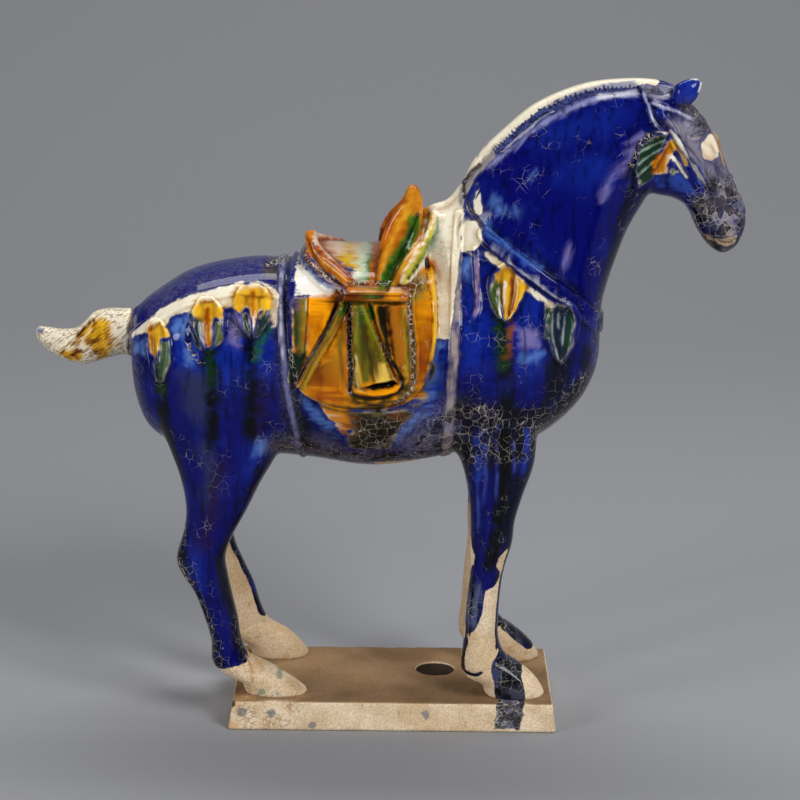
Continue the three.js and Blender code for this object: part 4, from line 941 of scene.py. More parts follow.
    ((196, 148, 20), 0.6, [([[119.8, 256.6], [123.9, 252.9], [126.8, 246.4]], 1.1)]),
    (WHITE, 0.5, [([[120.3, 250], [123.7, 246.5], [127.4, 240.4]], 1)]),
    ((56, 84, 20), 0.7, [[[118.6, 243.7], [121.5, 245], [123, 243.2], [121, 240.5]]]),
    # Painted highlight along the cheek strap
    ((224, 220, 216), 0.5, [
        ([[119.6, 261.4], [123.7, 255.3], [128.5, 248], [133.4, 241.1], [137.5, 234.4]], 0.8)]),
    # Cream of the frontlet, brightened as a painted highlight
    ((248, 236, 210), 0.8, [
        [[134, 257.1], [136.1, 259.5], [139.9, 258.4], [141.9, 253.5], [141.5, 249.5], [138.6, 247.2],
         [134.8, 249.2], [133, 253.7]]]),
    # Painted shade along the frontlet's lower edge
    (BEIGE, 1, [([[133.8, 253.4], [135.4, 249.4], [138.8, 248]], 0.9)]),
    ((200, 180, 150), 0.8, [([[135.6, 255.4], [138.4, 254.2], [140.6, 250.4]], 0.5)]),
    ((178, 134, 62), 0.7, [([[139.6, 260], [142, 256], [143.6, 250.4], [144.6, 245]], 1)]),
]
# Where the crackle shows as a close net, and where it stands in bold ladders along a groove
CRACKLE = [
    [[-58, 118], [-44, 128], [-30, 120], [0, 120], [12, 134], [25, 146], [36.5, 144], [50, 143],
     [63.5, 142], [70.8, 145.8], [82, 156], [90, 150], [80, 130], [66, 120], [60, 112], [22, 108],
     [-10, 98], [-50, 100]],
    [[128, 240], [140, 244], [160, 240], [158, 204], [136, 204], [126, 230]],
    [[33, 60], [40, 60], [38, 32], [30, 32]],
    [[88, 132], [99, 168], [97, 186], [86, 198], [84, 206], [98, 204], [110, 232], [104, 236],
     [96, 210], [86, 188]],
    [[103, 257], [112, 262], [118, 261], [108, 256], [103, 246]],
    [[118, 276], [138, 272], [144, 262], [134, 258]],
    [[-76.4, 181], [-68, 181], [-67, 168], [-75, 167]], [[42, 24], [60, 24], [62, 2], [44, 2]],
    ([[-99.6, 66], [-93.6, 50], [-85.6, 27], [-82.4, 14]], 2.4),
    ([[-77.4, 64], [-73.6, 40.5], [-70.2, 18]], 2.4), ([[-50, 178], [-49.8, 160], [-48, 140]], 1.4),
    ([[28, 184], [36, 178]], 2.4), ([[22, 124], [31, 110], [35, 80]], 2.4),
    ([[46, 214], [62, 201], [80, 186]], 0.6), ([[36, 84], [42, 70]], 2),
    ([[-100, 84], [-96, 62], [-88, 40], [-80, 16]], 6), [[-22, 140], [10, 140], [0, 116], [-24, 116]],
    [[8, 238], [14, 178], [23, 174], [26, 206], [29, 228], [32, 248]],
    ([[22, 232], [49, 260.4], [80, 279.4], [112, 282.4]], 2),
]
LADDERS = [
    ([[-91.8, 180], [-93.6, 170], [-91, 163], [-86.3, 159]], 1.2), (PAD_CRACKS, 1.3), (CLOTH_SLIT, 1.4),
    ([[-24, 196.4], [-4, 196.6]], 0.9), ([[-9.9, 180], [-7.2, 169.4], [-3, 160.8]], 0.9),
    (CANTLE_FOOT, 0.6),
    ([[-48, 166], [-46, 158], [-44, 150]], 1.2), ([[-99, 64], [-93.5, 50], [-86.6, 30], [-85, 17]], 1),
    ([[5, 192], [10, 197]], 2.4), ([[103, 246], [105.6, 254], [110, 259]], 1.2),
    ([[-60, 198.4], [-50, 200]], 1),
]
# A fine pale bloom; along the croup above the crupper it also stands in for a painted highlight
BLOOM = [
    [[-111.5, 177.6], [-104.6, 182.6], [-97.9, 187.2], [-88.8, 190.4], [-79.9, 193], [-71, 195],
     [-60, 196], [-60, 198.6], [-71.6, 197.6], [-80.6, 195.9], [-89.5, 193.3], [-98.4, 189.3],
     [-105.1, 184.8], [-112, 180.2]],
    [[117, 264], [128, 256], [140, 236], [136, 228], [142, 217], [157, 217], [158, 232], [147, 254],
     [138, 266], [128, 273]],
    [[-60, 121], [-30, 112], [0, 108], [24, 110], [24, 118], [0, 116], [-30, 119], [-52, 127]],
    [[-2, 128], [12, 140], [24, 146], [27, 134], [26, 110], [0, 106]],
    ([[-110, 116], [-118, 138], [-120, 160]], 2), ([[88, 140], [93, 160], [92, 176]], 2.4),
    (REAR_STRAP, 1.2),
]
# Outside of the fore legs: how far the glaze ran down
FORE_GLAZE = [
    [14, 250], [14, 90], [31.5, 82], [33.5, 74], [36.6, 66.1], [33.6, 62.5], [29, 60], [29, 36],
    [33.4, 32], [35.6, 32.4], [38.7, 37.3], [40.3, 49], [41.6, 52.9], [44.8, 54.3], [47.5, 57.9],
    [47.4, 61.4], [45, 65], [47.1, 69.5], [51.4, 73], [60, 76], [110, 90], [110, 250],
]
HOOF_RUN = [
    [48.3, 24], [44.1, 16.5], [46.1, 2.5], [48, -6], [59, -6], [60.2, 1.8], [58.2, 12], [60.3, 18.6],
    [55.3, 23.2],
]
# Heights where the glaze ends inside the fore legs, inside the hind legs and outside the hind legs
FORE_BARE, HIND_BARE, HIND_FOOT = 79, 73, 14.6
HIND_HEEL, HIND_SLOPE = -76, 0.25
# Heights below which clay is left bare on a fore leg and a hind leg
FORE_TOP, HIND_TOP = 110, 100
# Strips of glaze down the fronts of the legs: their feet, and how squarely the clay faces forward
FORE_STRIP, NEAR_STRIP, HIND_STRIP = 9, 24, 18
NEAR_FACING, FAR_FACING, HIND_FACING = 0.8, 0.6, 0.72
# Heights between which the strips turn from cobalt, above, to black
STRIP_PALE, STRIP_DARK = 84, 70
# How quickly glaze gives way to clay as a leg turns from ahead or from its outer side
AHEAD_TURN, SIDE_TURN = 14, 12
EDGE = 4


def spread(inside):
    """Turns a distance inside an edge into 0 to 1, with half at the edge."""
    return np.clip(0.5 + inside / (2 * EDGE), 0, 1)


def within(places):
    """How far inside any of these outlines and lines each point lies, in millimetres."""
    reach = [
        place[1] - off_path(x, z, place[0])[0] if isinstance(place, tuple) else inside_by(x, z, place)
        for place in places
    ]
    return np.maximum.reduce(reach)


def tint(red, green, blue):
    """A paint as the eye sees it, from 0 to 255, made linear."""
    def linear(value):
        value /= 255
        return value / 12.92 if value <= 0.04045 else ((value + 0.055) / 1.055) ** 2.4

    return (linear(red), linear(green), linear(blue), 1)


def mixed(paint):
    return np.array(tint(*paint)[:3])


def glazed(ground, daubs):
    """The colour of each point once every daub is laid over the ground, and how far it is inside them."""
    colour = np.tile(mixed(ground), (len(x), 1))
    reach = np.full(x.shape, -float(FAR_OFF))
    for paint, soft, places in daubs:
        inside = within(places)
        share = ramp(inside + RAGGED * min(soft, 2.5) * ragged, -soft, soft)
        colour += (mixed(paint) - colour) * share[:, None]
        reach = np.maximum(reach, inside - FULL * soft)
    return colour, reach


points = drawn(horse_mesh)
x, y, z = points.T
normals = normals_of(horse_mesh)
outward = normals[:, 1] * np.sign(y)
RAGGED, RAGGED_GRAIN, FULL = 1.1, 0.35, 0.6
ragged = np.array([noise.fractal(Vector(p) * RAGGED_GRAIN, 1, 2, 3) for p in points])
cobalt_coat, _ = glazed(COBALT, COBALT_DAUBS)
cream_coat, bright = glazed(CREAM, CREAM_DAUBS)
strips = ramp(normals[:, 0], 0.5, 0.7) * ramp(-z, -STRIP_PALE, -STRIP_DARK)
cobalt_coat += (mixed(STRIP_INK) - cobalt_coat) * strips[:, None]
fore, hind = (x > -10) & (x < 90), x < -30
outer_fore = spread(-inside_by(x, z, FORE_GLAZE))
inner_fore = spread(FORE_BARE - z)
facing = np.where(y > 0, FAR_FACING, NEAR_FACING)
front_strip = spread((normals[:, 0] - facing) * AHEAD_TURN) * spread(z - FORE_STRIP)
front_strip *= (z > NEAR_STRIP) | (y > 0)
outside = spread(outward * SIDE_TURN)
fore_bare = outer_fore * outside + inner_fore * (1 - outside)
runs = spread(within([HOOF_RUN, (HEEL_LINE, 0.8)]))
far_run = spread(2 - off_path(x, z, FAR_RUN)[0])
fore_bare = np.minimum(fore_bare, 1 - front_strip - np.where(y < 0, runs, far_run))
hind_outer = spread(HIND_FOOT + HIND_SLOPE * (x - HIND_HEEL) - z)
hind_strip = spread((normals[:, 0] - HIND_FACING) * AHEAD_TURN) * spread(z - HIND_STRIP)
hind_bare = hind_outer * outside + spread(HIND_BARE - z) * (1 - outside)
hind_bare = np.minimum(hind_bare, 1 - hind_strip)
bare = np.where(fore & (z < FORE_TOP), fore_bare, np.where(hind & (z < HIND_TOP), hind_bare, 0))
# Millimetres that a dent lies under the skin about it, or a ridge over it: where glaze is deep or thin, and
# where painted shade and painted highlight go
CLOSE_DENT, BROAD_DENT, BROAD_SHARE = 0.22, 0.8, 0.6
RIDGE_START, RIDGE_RISE = 0.07, 0.2
bent = np.einsum("ij,ij->i", rubbed(horse_mesh, points, 4, 1) - points, normals)
# The broad dent darkens wide hollows as painted shade
broad_shade = np.einsum("ij,ij->i", rubbed(horse_mesh, points, 20, 1) - points, normals)
hollow = np.clip(bent / CLOSE_DENT + BROAD_SHARE * np.clip(broad_shade / BROAD_DENT, 0, 1), 0, 1)
raised = np.clip((-bent - RIDGE_START) / RIDGE_RISE, 0, 1)
combed = comb_cuts(x, y, z)


def paint_in(name, *channels):
    layer = horse_mesh.attributes.new(name, "FLOAT_COLOR", "POINT")
    layer.data.foreach_set("color", np.column_stack(channels).astype(np.float32).ravel())


paint_in("cobalt_coat", cobalt_coat, spread(within(BLOOM)))
FADE, HAIR_START = 7, 121
net = np.maximum(0.66 * ramp(within(CRACKLE), -FADE, FADE), ramp(within(LADDERS), -1, 0.6) * 1.1)
paint_in("cream_coat", cream_coat, net)
paint_in("edges", spread(bright), bare, hollow, raised)
hair = ramp(-x, HAIR_START, HAIR_START + 3)
glassy = ramp(1 - cream_coat[:, 2] / cream_coat[:, 0], 0.6, 0.8)
paint_in("strokes", combed, hair, glassy, ramp(within(SPOTS + RUST_MARKS), -0.8, 1) * (y < 0))


# The glaze itself
# A glassy lead glaze some tenths of a millimetre thick over buff clay, which crazed as it cooled.
# The net of cracks shows where pale earth from the tomb has filled it.
def node(tree, kind, inputs, **settings):
    """A shader node whose inputs are plain values or other nodes' outputs."""
    made = tree.nodes.new(kind)
    for name, value in settings.items():
        setattr(made, name, value)
    for name, value in inputs.items():
        if isinstance(value, bpy.types.NodeSocket):
            tree.links.new(value, made.inputs[name])
        else:
            made.inputs[name].default_value = value
    return made


def work(tree, operation, *values):
    inputs = dict(enumerate(values))
    return node(tree, "ShaderNodeMath", inputs, operation=operation).outputs[0]


def product(tree, mask, *parts):
    """A mask times other masks and plain shares."""
    for part in parts:
        mask = work(tree, "MULTIPLY", mask, part)
    return mask


def over(tree, under, top, mask, blend="MIX"):
    """One colour laid over another through a mask."""
    inputs = {0: mask, 6: under, 7: top}
    return node(tree, "ShaderNodeMix", inputs, data_type="RGBA", blend_type=blend).outputs[2]


def smooth_step(tree, value, start, end):
    inputs = {"Value": value, "From Min": start, "From Max": end}
    return node(tree, "ShaderNodeMapRange", inputs, interpolation_type="SMOOTHSTEP").outputs["Result"]


def object_spot(tree):
    return tree.nodes.new("ShaderNodeTexCoord").outputs["Object"]


def cloud(tree, grains, detail=3, stretch=(1, 1, 1)):
    """Soft random patches, so many to the metre."""
    spot = object_spot(tree)
    if stretch != (1, 1, 1):
        spot = node(tree, "ShaderNodeMapping", {"Vector": spot, "Scale": stretch}).outputs[0]
    inputs = {"Vector": spot, "Scale": grains, "Detail": detail}
    return node(tree, "ShaderNodeTexNoise", inputs).outputs["Fac"]


def patches(tree, grains, detail, start, end, stretch=(1, 1, 1)):
    """A cloud as a mask, with nothing below start and all above end."""
    return smooth_step(tree, cloud(tree, grains, detail, stretch), start, end)


def swayed(tree, grains, detail, reach):
    """Object coordinates pushed up to reach by soft noise, so that lines on them don't run straight."""
    spot = object_spot(tree)
    inputs = {"Vector": spot, "Scale": grains, "Detail": detail}
    sway = node(tree, "ShaderNodeTexNoise", inputs).outputs["Color"]
    moved = node(tree, "ShaderNodeVectorMath", {0: sway, 3: reach}, operation="SCALE").outputs[0]
    return node(tree, "ShaderNodeVectorMath", {0: spot, 1: moved}, operation="ADD").outputs[0]


def cell_edge(tree, spot, cells, randomness=1):
    inputs = {"Vector": spot, "Scale": cells, "Randomness": randomness}
    return node(tree, "ShaderNodeTexVoronoi", inputs, feature="DISTANCE_TO_EDGE").outputs["Distance"]


def new_group(name, inputs, outputs):
    """An empty node group and its input and output nodes; each socket is a Float or a Color."""
    tree = bpy.data.node_groups.new(name, "ShaderNodeTree")
    for side, sockets in (("INPUT", inputs), ("OUTPUT", outputs)):
        for socket, kind in sockets.items():
            tree.interface.new_socket(socket, in_out=side, socket_type="NodeSocket" + kind)
    return tree, tree.nodes.new("NodeGroupInput").outputs, tree.nodes.new("NodeGroupOutput").inputs


# Cells to the metre and half the width of a crack in metres
WIDE_CELLS, WIDE_CRACK = 240, 0.00008
SMALL_CELLS, SMALL_CRACK = 460, 0.00006
BOLD_CELLS, BOLD_CRACK = 370, 0.00013
CELL_RANDOMNESS, CRACK_SWAY = 0.85, 0.0014


def crazing_group():
    """The net of cracks in a glaze: wide cells that split into smaller ones where it is dense."""
    tree, given, wanted = new_group("crazing", {"Density": "Float"}, {"Net": "Float", "Cell": "Float"})
    spot = swayed(tree, 300, 3, CRACK_SWAY)
    faint = patches(tree, 480, 3, 0.28, 0.56)

    def cracks(cells, half_width, strength):
        edge = cell_edge(tree, spot, cells, CELL_RANDOMNESS)
        line = smooth_step(tree, edge, half_width * cells * 1.7, half_width * cells * 0.4)
        return product(tree, line, faint, strength)

    lowered = work(tree, "SUBTRACT", given["Density"], 0.66)
    level = work(tree, "MULTIPLY_ADD", cloud(tree, 120, 4), 1.3, lowered)
    stray = product(tree, patches(tree, 90, 5, 0.54, 0.7), 0.32)
    bold = smooth_step(tree, level, 0.85, 1)
    plain = work(tree, "SUBTRACT", 1, bold)
    wide = product(tree, smooth_step(tree, level, 0.3, 0.8), plain, 0.7)
    small = product(tree, smooth_step(tree, level, 0.55, 0.8), plain, 0.4)
    net = cracks(WIDE_CELLS, WIDE_CRACK, work(tree, "MAXIMUM", stray, wide))
    net = work(tree, "MAXIMUM", net, cracks(SMALL_CELLS, SMALL_CRACK, small))
    net = work(tree, "MAXIMUM", net, cracks(BOLD_CELLS, BOLD_CRACK, bold))
    inputs = {"Vector": spot, "Scale": WIDE_CELLS, "Randomness": CELL_RANDOMNESS}
    cell = node(tree, "ShaderNodeTexVoronoi", inputs).outputs["Color"]
    tree.links.new(net, wanted["Net"])
    tree.links.new(node(tree, "ShaderNodeSeparateColor", {0: cell}).outputs[0], wanted["Cell"])
    return tree


# Where the slab's rear corner on the near side crumbles, in metres: from none to all
CRUMBLES_ALONG, CRUMBLES_ACROSS = (-0.036, -0.052), (-0.01, -0.02)
CLEFT_CELLS, CLEFT_SWAY = 380, 0.006


def bare_clay_group():
    """Buff earthenware: mottled, with dark specks, fine pits and a little rust."""
    sockets = {"Color": "Color", "Height": "Float"}
    tree, given, wanted = new_group("buff_clay", {"Warmth": "Float"}, sockets)
    mottle = patches(tree, 70, 5, 0.35, 0.65)
    colour = over(tree, tint(252, 230, 198), tint(230, 203, 164), mottle)
    # Warmth browns the clay; on the horse it is painted shade on the far side
    colour = over(tree, colour, tint(136, 102, 62), given["Warmth"])
    colour = over(tree, colour, tint(186, 132, 74), product(tree, patches(tree, 240, 5, 0.6, 0.72), 0.5))
    sand = product(tree, patches(tree, 1300, 3, 0.4, 0.62), 0.8)
    colour = over(tree, colour, tint(224, 217, 208), sand, "MULTIPLY")
    colour = over(tree, colour, tint(110, 84, 62), product(tree, patches(tree, 1500, 2, 0.66, 0.74), 0.6))
    along, across, _ = node(tree, "ShaderNodeSeparateXYZ", {0: object_spot(tree)}).outputs
    near = smooth_step(tree, across, *CRUMBLES_ACROSS)
    crumbling = product(tree, near, smooth_step(tree, along, *CRUMBLES_ALONG))
    edge = cell_edge(tree, swayed(tree, 160, 4, CLEFT_SWAY), CLEFT_CELLS)
    broken = product(tree, crumbling, patches(tree, 150, 4, 0.42, 0.6))
    clefts = product(tree, smooth_step(tree, edge, 0.1, 0.01), broken)
    rusty = product(tree, crumbling, patches(tree, 100, 5, 0.5, 0.66), 0.7)
    colour = over(tree, colour, tint(214, 168, 112), rusty)
    colour = over(tree, colour, tint(168, 126, 80), product(tree, clefts, 0.6))
    tree.links.new(colour, wanted["Color"])
    pits = product(tree, patches(tree, 1100, 3, 0.3, 0.5), 0.3)
    lumps = work(tree, "SUBTRACT", cloud(tree, 160, 4), clefts)
    tree.links.new(work(tree, "ADD", pits, lumps), wanted["Height"])
    return tree


def grey(value):
    return (value, value, value, 1)


HAIR_TURN = math.radians(-42)
RIDGE_HIGHLIGHT = (1.5, 1.5, 1.2, 1)
CRAZING = crazing_group()
BUFF_CLAY = bare_clay_group()


def sancai_glaze():
    material = bpy.data.materials.new("cobalt_amber_and_cream_glaze")
    material.use_nodes = True
    tree = material.node_tree
    shader = tree.nodes["Principled BSDF"]

    def painted(name):
        layer = node(tree, "ShaderNodeAttribute", {}, attribute_name=name)
        return layer.outputs["Color"], layer.outputs["Alpha"]

    cobalt, bloom = painted("cobalt_coat")
    cream, crackle = painted("cream_coat")
    edges, raised = painted("edges")
    bright, bare, hollow = node(tree, "ShaderNodeSeparateColor", {0: edges}).outputs
    strokes, spots = painted("strokes")
    combed, hair, amber = node(tree, "ShaderNodeSeparateColor", {0: strokes}).outputs
    spot = object_spot(tree)
    fine = cloud(tree, 700, 4)
    waver = work(tree, "MULTIPLY_ADD", cloud(tree, 190, 4), 0.3, -0.15)
    drift = work(tree, "MULTIPLY_ADD", cloud(tree, 260, 4, (1, 1, 0.22)), 0.4, -0.2)

    # Cobalt, thin on what stands out, dark where it gathered, and darker in hollows as painted shade
    thin = product(tree, patches(tree, 75, 6, 0.5, 0.72), 0.25)
    cobalt = over(tree, cobalt, tint(26, 56, 170), thin)
    runs = product(tree, patches(tree, 420, 4, 0.48, 0.7, (1, 1, 0.09)), 0.8)
    cobalt = over(tree, cobalt, tint(140, 130, 150), runs, "MULTIPLY")
    streaks = patches(tree, 300, 5, 0.3, 0.8, (0.16, 1, 1))
    cobalt = over(tree, cobalt, tint(88, 98, 150), product(tree, raised, streaks, 0.4))
    cobalt = over(tree, cobalt, tint(96, 92, 120), product(tree, hollow, 0.8), "MULTIPLY")
    haze = product(tree, bloom, smooth_step(tree, fine, 0.2, 0.9), 0.5)
    cobalt = over(tree, cobalt, tint(150, 146, 166), haze)

    # Cream, amber and green, deeper where they gathered, with dirt and painted shade in hollows and a
    # painted highlight on ridges
    gathered = patches(tree, 170, 4, 0.42, 0.7, (1, 1, 0.3))
    cream = over(tree, cream, tint(238, 226, 208), product(tree, gathered, 0.4), "MULTIPLY")
    cream = over(tree, cream, tint(176, 124, 64), product(tree, gathered, amber, 0.55), "MULTIPLY")
    cream = over(tree, cream, tint(200, 178, 148), product(tree, hollow, 0.7), "MULTIPLY")
    cream = over(tree, cream, tint(128, 90, 46), product(tree, hollow, amber, 0.55), "MULTIPLY")
    cream = over(tree, cream, RIDGE_HIGHLIGHT, product(tree, raised, 0.8), "MULTIPLY")

    # Hair of the tail and the comb's teeth in the mane
    along = {"Vector": spot, "Rotation": (0, HAIR_TURN, 0), "Scale": (7, 1, 1)}
    along = node(tree, "ShaderNodeMapping", along, vector_type="TEXTURE").outputs[0]
    inputs = {"Vector": along, "Scale": 1200, "Detail": 2}
    strands = node(tree, "ShaderNodeTexNoise", inputs).outputs["Fac"]
    lines = product(tree, hair, smooth_step(tree, strands, 0.5, 0.62), 0.9)
    cream = over(tree, cream, tint(178, 156, 128), lines, "MULTIPLY")
    teeth = smooth_step(tree, work(tree, "ADD", combed, waver), 0.3, 0.5)
    cream = over(tree, cream, tint(40, 60, 136), product(tree, teeth, 0.85))
    teeth = product(tree, teeth, smooth_step(tree, fine, 0.46, 0.56), 0.8)
    cream = over(tree, cream, tint(16, 18, 44), teeth)

    # The light glazes run over the cobalt, with a dull rim between
    rim = smooth_step(tree, work(tree, "ADD", bright, waver), 0.36, 0.46)
    cobalt = over(tree, cobalt, tint(70, 74, 120), product(tree, rim, 0.6))
    ragged_edge = work(tree, "ADD", waver, product(tree, drift, 0.5))
    is_bright = smooth_step(tree, work(tree, "ADD", bright, ragged_edge), 0.44, 0.54)
    colour = over(tree, cobalt, cream, is_bright)

    # Cracks, pale with earth on dark glaze and brown on light glaze
    crazing = node(tree, "ShaderNodeGroup", {"Density": crackle}, node_tree=CRAZING).outputs
    net = crazing["Net"]
    dark_cells = smooth_step(tree, crazing["Cell"], 0.35, 0.6)
    dark_cells = product(tree, smooth_step(tree, crackle, 0.45, 0.66), dark_cells)
    dark_cells = product(tree, dark_cells, work(tree, "SUBTRACT", 1, is_bright), 0.85)
    colour = over(tree, colour, tint(90, 80, 96), dark_cells, "MULTIPLY")
    light = node(tree, "ShaderNodeRGBToBW", {0: colour}).outputs[0]
    light = smooth_step(tree, light, 0.22, 0.42)
    earth = over(tree, tint(214, 204, 188), tint(170, 140, 104), light)
    colour = over(tree, colour, earth, product(tree, net, 0.9))

    # Bare clay on the lower legs, browner on the far side as painted shade, with a few spots of glaze
    across = node(tree, "ShaderNodeSeparateXYZ", {0: spot}).outputs[1]
    far_side_shade = product(tree, smooth_step(tree, across, 0, 0.012), 0.42)
    clay = node(tree, "ShaderNodeGroup", {"Warmth": far_side_shade}, node_tree=BUFF_CLAY).outputs
    is_bare = smooth_step(tree, work(tree, "ADD", bare, waver), 0.46, 0.54)
    soiled = smooth_step(tree, work(tree, "ADD", spots, product(tree, drift, 1.5)), 0.35, 0.75)
    soiled_clay = over(tree, clay["Color"], cream, product(tree, soiled, 0.75))
    tree.links.new(over(tree, colour, soiled_clay, is_bare), shader.inputs["Base Color"])
    glossy = over(tree, grey(0.16), grey(0.4), net)
    tree.links.new(over(tree, glossy, grey(0.9), is_bare), shader.inputs["Roughness"])
    dulled = work(tree, "MULTIPLY_ADD", bloom, -0.6, 1)
    coat = product(tree, work(tree, "SUBTRACT", 1, is_bare), dulled)
    tree.links.new(coat, shader.inputs["Coat Weight"])
    shader.inputs["Coat Roughness"].default_value = 0.05
    shader.inputs["Coat IOR"].default_value = 1.3
    shader.inputs["Specular IOR Level"].default_value = 0

    def bump(height, strength, distance, below=None, invert=False):
        inputs = {"Height": height, "Strength": strength, "Distance": distance}
        if below:
            inputs["Normal"] = below
        return node(tree, "ShaderNodeBump", inputs, invert=invert).outputs[0]

    wavy = bump(cloud(tree, 110, 3), 0.35, 0.0008)
    hairs = bump(product(tree, hair, strands), 0.8, 0.0014, wavy)
    cracks = bump(net, 0.5, 0.0001, hairs, True)
    thickness = bump(is_bare, 0.8, 0.0003, cracks, True)
    grain = bump(product(tree, clay["Height"], is_bare), 0.5, 0.0006, thickness)
    tree.links.new(grain, shader.inputs["Normal"])
    return material


horse_mesh.materials.append(sancai_glaze())

# The plinth
# A slab of the same clay, cut with a knife and left bare, with a vent hole pressed through it
# and the hooves luted on with slip. Its edges are worn and a few drops of glaze fell on it.
LOW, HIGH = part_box("plinth")
BATTER = 2
VENT_FORWARD, VENT_LEFT, VENT_RADIUS = 19, 8, 9
VENT_SIDES = 96
WORN_EDGE, WORN_DEPTH, SLAB_VOXEL = 0.9, 0.35, 0.9
BROAD_WAVE, SMALL_WAVE = 0.06, 0.25
LUTING_HEIGHT = 1.1
slab = bmesh.new()
bmesh.ops.create_cube(slab, size=1)
for corner in slab.verts:
    inset = BATTER * MM if corner.co.z > 0 else 0
    for axis in range(2):
        corner.co[axis] = HIGH[axis] - inset if corner.co[axis] > 0 else LOW[axis] + inset
    corner.co.z = HIGH.z if corner.co.z > 0 else LOW.z
bmesh.ops.bevel(slab, geom=slab.edges[:], offset=WORN_EDGE * MM, offset_type="OFFSET", segments=3,
                profile=0.5, affect="EDGES", material=-1)
plinth = in_scene("plinth_slab", mesh_of(slab, "plinth_slab"))
hole = bmesh.new()
vent = Matrix.Translation((VENT_FORWARD * MM, VENT_LEFT * MM, HIGH.z / 2))
bmesh.ops.create_cone(hole, cap_ends=True, segments=VENT_SIDES, radius1=VENT_RADIUS * MM,
                      radius2=VENT_RADIUS * MM, depth=HIGH.z * 3, matrix=vent)
cutter = in_scene("vent_hole", mesh_of(hole, "vent_hole"))
cut = plinth.modifiers.new("vent", "BOOLEAN")
cut.object = cutter
add_remesh(plinth, SLAB_VOXEL)
cut_mesh = as_modified(plinth)
plinth.modifiers.clear()
plinth.data = cut_mesh
bpy.data.objects.remove(cutter)

points = np.array([v.co for v in cut_mesh.vertices]) / MM
normals = normals_of(cut_mesh)
uneven = np.array([
    noise.noise(Vector(p) * BROAD_WAVE) + 0.4 * noise.noise(Vector(p) * SMALL_WAVE) for p in points
])
top = HIGH.z / MM
free_face = ramp(points[:, 2], 0.2, 1.5)
points = rubbed(cut_mesh, points, 3, free_face)
points -= normals * (WORN_DEPTH * (uneven + 0.7) * free_face)[:, None]
x, y, z = points.T
# Middle x and y, half length and half width of each hoof's foot
HOOVES = [(55.7, 25, 14.3, 11.2), (55.7, -25, 14.3, 11.2), (-54.5, -25, 15, 11.2), (-54.5, 25, 15, 11.2)]
for hoof_x, hoof_y, half_long, half_wide in HOOVES:
    outside_hoof = np.hypot((x - hoof_x) / half_long, (y - hoof_y) / half_wide)
    luting = (1 - ramp(outside_hoof, 1, 1.25)) * ramp(z, top - 1.5, top - 0.6)
    points[:, 2] += luting * LUTING_HEIGHT
points[:, 2] = np.maximum(points[:, 2], 0)
cut_mesh.vertices.foreach_set("co", (points * MM).ravel())
cut_mesh.shade_smooth()
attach(plinth, "root")
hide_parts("plinth")

# Middle x, y, z and radius of each drop of glaze, in millimetres above the table
DROPS = [(-56.6, -38, 8, 1.8), (-70, -38, 8.6, 2.2), (14.6, -38.5, 8.4, 1.9), (-37.4, -38.5, 3, 1.7)]
PITTED_CORNER, PIT_RADIUS = (-74, -36, 11.6), 1.8
# The run of glaze from the near fore hoof down over the slab's edge: middle x at its top, half
# width, lean, top z and foot z
RUN_X, RUN_HALF, RUN_LEAN, RUN_TOP, RUN_FOOT = 53.5, 6, 0.15, 14, 1.5
EDGE_Y = -34
drops = np.full(x.shape, -9.0)
for drop_x, drop_y, drop_z, radius in DROPS:
    drops = np.maximum(drops, radius - np.sqrt((x - drop_x) ** 2 + (y - drop_y) ** 2 + (z - drop_z) ** 2))
run = np.where(y < EDGE_Y, RUN_HALF - np.abs(x - RUN_X - RUN_LEAN * (z - RUN_TOP)), -9)
run = np.minimum(run, z - RUN_FOOT)
layer = cut_mesh.attributes.new("drops", "FLOAT_COLOR", "POINT")
top_face = ramp(normals[:, 2], 0.5, 0.9)
# Painted shade on the vent hole's walls and a dark spot for a pit at the slab's near rear corner
hole_shade = spread(VENT_RADIUS + 1 - np.hypot(x - VENT_FORWARD, y - VENT_LEFT))
hole_shade *= ramp(-z, 0.2 - top, 1.2 - top)
hole_shade = np.maximum(hole_shade, spread(PIT_RADIUS - np.linalg.norm(points - PITTED_CORNER, axis=1)))
channels = np.column_stack([spread(run), spread(drops), top_face, hole_shade])
layer.data.foreach_set("color", channels.astype(np.float32).ravel())


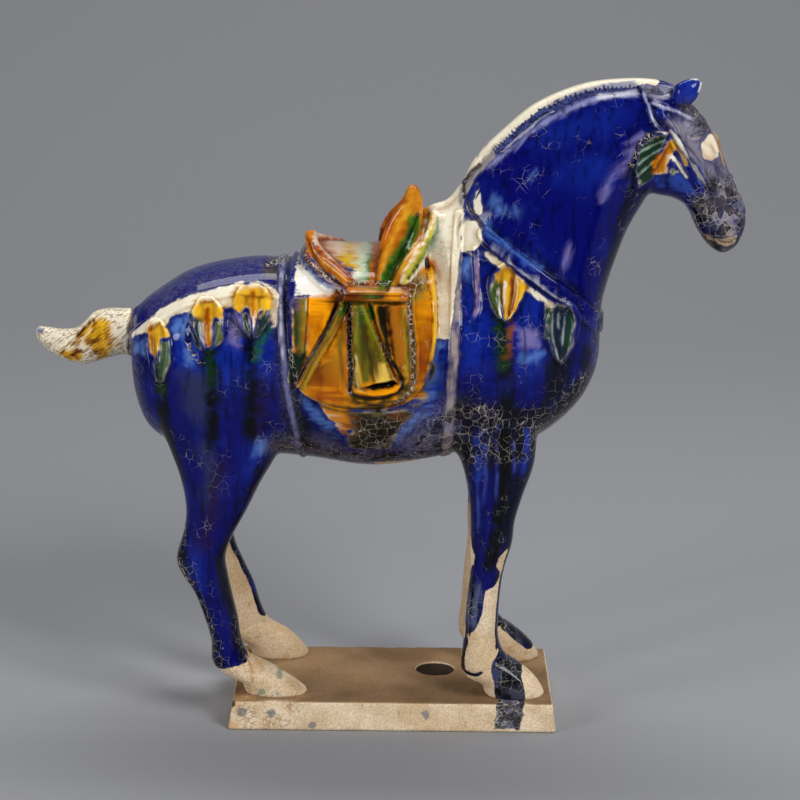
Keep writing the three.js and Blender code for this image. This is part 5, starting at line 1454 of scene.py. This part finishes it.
def slab_clay():
    material = bpy.data.materials.new("bare_buff_clay")
    material.use_nodes = True
    tree = material.node_tree
    shader = tree.nodes["Principled BSDF"]
    layer = node(tree, "ShaderNodeAttribute", {}, attribute_name="drops").outputs
    run, drops, top_face = node(tree, "ShaderNodeSeparateColor", {0: layer["Color"]}).outputs
    warmth = {"Warmth": product(tree, top_face, 0.9)}
    clay = node(tree, "ShaderNodeGroup", warmth, node_tree=BUFF_CLAY).outputs
    stained = product(tree, patches(tree, 30, 5, 0.45, 0.7), top_face, 0.7)
    colour = over(tree, clay["Color"], tint(110, 82, 50), stained)
    # Painted shade in the vent hole and the corner pit
    hole_shade = smooth_step(tree, layer["Alpha"], 0.46, 0.56)
    colour = over(tree, colour, tint(70, 54, 42), hole_shade)
    waver = work(tree, "MULTIPLY_ADD", cloud(tree, 260, 3), 0.5, -0.25)
    dropped = smooth_step(tree, work(tree, "ADD", drops, waver), 0.44, 0.56)
    colour = over(tree, colour, tint(112, 120, 126), product(tree, dropped, 0.75))
    net = node(tree, "ShaderNodeGroup", {"Density": 0.9}, node_tree=CRAZING).outputs["Net"]
    glaze = over(tree, tint(20, 20, 30), tint(84, 86, 108), patches(tree, 300, 4, 0.45, 0.62))
    glaze = over(tree, glaze, tint(190, 180, 165), net)
    glazed_run = smooth_step(tree, work(tree, "ADD", run, waver), 0.46, 0.54)
    tree.links.new(over(tree, colour, glaze, glazed_run), shader.inputs["Base Color"])
    tree.links.new(over(tree, grey(0.92), grey(0.3), glazed_run), shader.inputs["Roughness"])
    tree.links.new(glazed_run, shader.inputs["Coat Weight"])
    shader.inputs["Coat Roughness"].default_value = 0.1
    inputs = {"Height": clay["Height"], "Strength": 0.6, "Distance": 0.0006}
    tree.links.new(node(tree, "ShaderNodeBump", inputs).outputs[0], shader.inputs["Normal"])
    return material


cut_mesh.materials.clear()
cut_mesh.materials.append(slab_clay())

# The camera
# It stands where the photograph was taken, a little over a metre from the near flank and higher
# than the ears, and looks down on the saddle.
CAMERA_AT = (0.001, -1.1, 0.43)
LOOK_DOWN = 14.4
LEAN = 0.6
FOCAL_PIXELS = 2465
IMAGE_PIXELS = 800
lens = bpy.data.cameras.new("camera")
lens.sensor_width = 36
lens.lens = FOCAL_PIXELS * lens.sensor_width / IMAGE_PIXELS
camera = in_scene("camera", lens)
tilt = Matrix.Rotation(math.radians(90 - LOOK_DOWN), 4, "X")
camera.matrix_world = Matrix.Translation(CAMERA_AT) @ tilt @ Matrix.Rotation(math.radians(LEAN), 4, "Z")
bpy.context.scene.camera = camera
bpy.context.scene.view_settings.view_transform = "Standard"

# The studio
# Pale paper that lies flat and sweeps up behind, a long lamp high at the back, a square key lamp
# high on the right and a weaker one on the left.
SWEEP_START, SWEEP_RADIUS, PAPER_HALF = 0.75, 0.85, 4
sweep = bmesh.new()
bmesh.ops.create_grid(sweep, x_segments=1, y_segments=60, size=PAPER_HALF)
for v in sweep.verts:
    run = v.co.y - SWEEP_START
    if run > 0:
        turn = min(run / SWEEP_RADIUS, math.pi / 2)
        v.co.z = SWEEP_RADIUS * (1 - math.cos(turn)) + max(run - SWEEP_RADIUS * math.pi / 2, 0)
        v.co.y = SWEEP_START + SWEEP_RADIUS * math.sin(turn)
floor_mesh = mesh_of(sweep, "paper_sweep")
floor_mesh.shade_smooth()
floor = in_scene("paper_sweep", floor_mesh)
paper = bpy.data.materials.new("grey_paper")
paper.use_nodes = True
shader = paper.node_tree.nodes["Principled BSDF"]
shader.inputs["Base Color"].default_value = tint(150, 151, 155)
shader.inputs["Roughness"].default_value = 0.8
floor_mesh.materials.append(paper)

world = bpy.data.worlds.new("studio")
world.use_nodes = True
background = world.node_tree.nodes["Background"]
background.inputs["Color"].default_value = tint(150, 150, 156)
background.inputs["Strength"].default_value = 0.38
bpy.context.scene.world = world


def soft_box(name, at, aim, size, power):
    lamp = bpy.data.lights.new(name, "AREA")
    lamp.shape = "RECTANGLE"
    lamp.size, lamp.size_y = size
    lamp.energy = power
    holder = in_scene(name, lamp)
    holder.location = at
    holder.rotation_euler = (Vector(aim) - Vector(at)).to_track_quat("-Z", "Y").to_euler()


soft_box("high_back", (0, 0.5, 1.4), (0, 0, 0.15), (1.4, 0.3), 10)
soft_box("key_right", (1, -1.1, 1.2), (0, 0, 0.15), (0.7, 0.7), 22)
soft_box("left_fill", (-1.6, -1.1, 0.7), (0, 0, 0.15), (0.5, 0.9), 15)
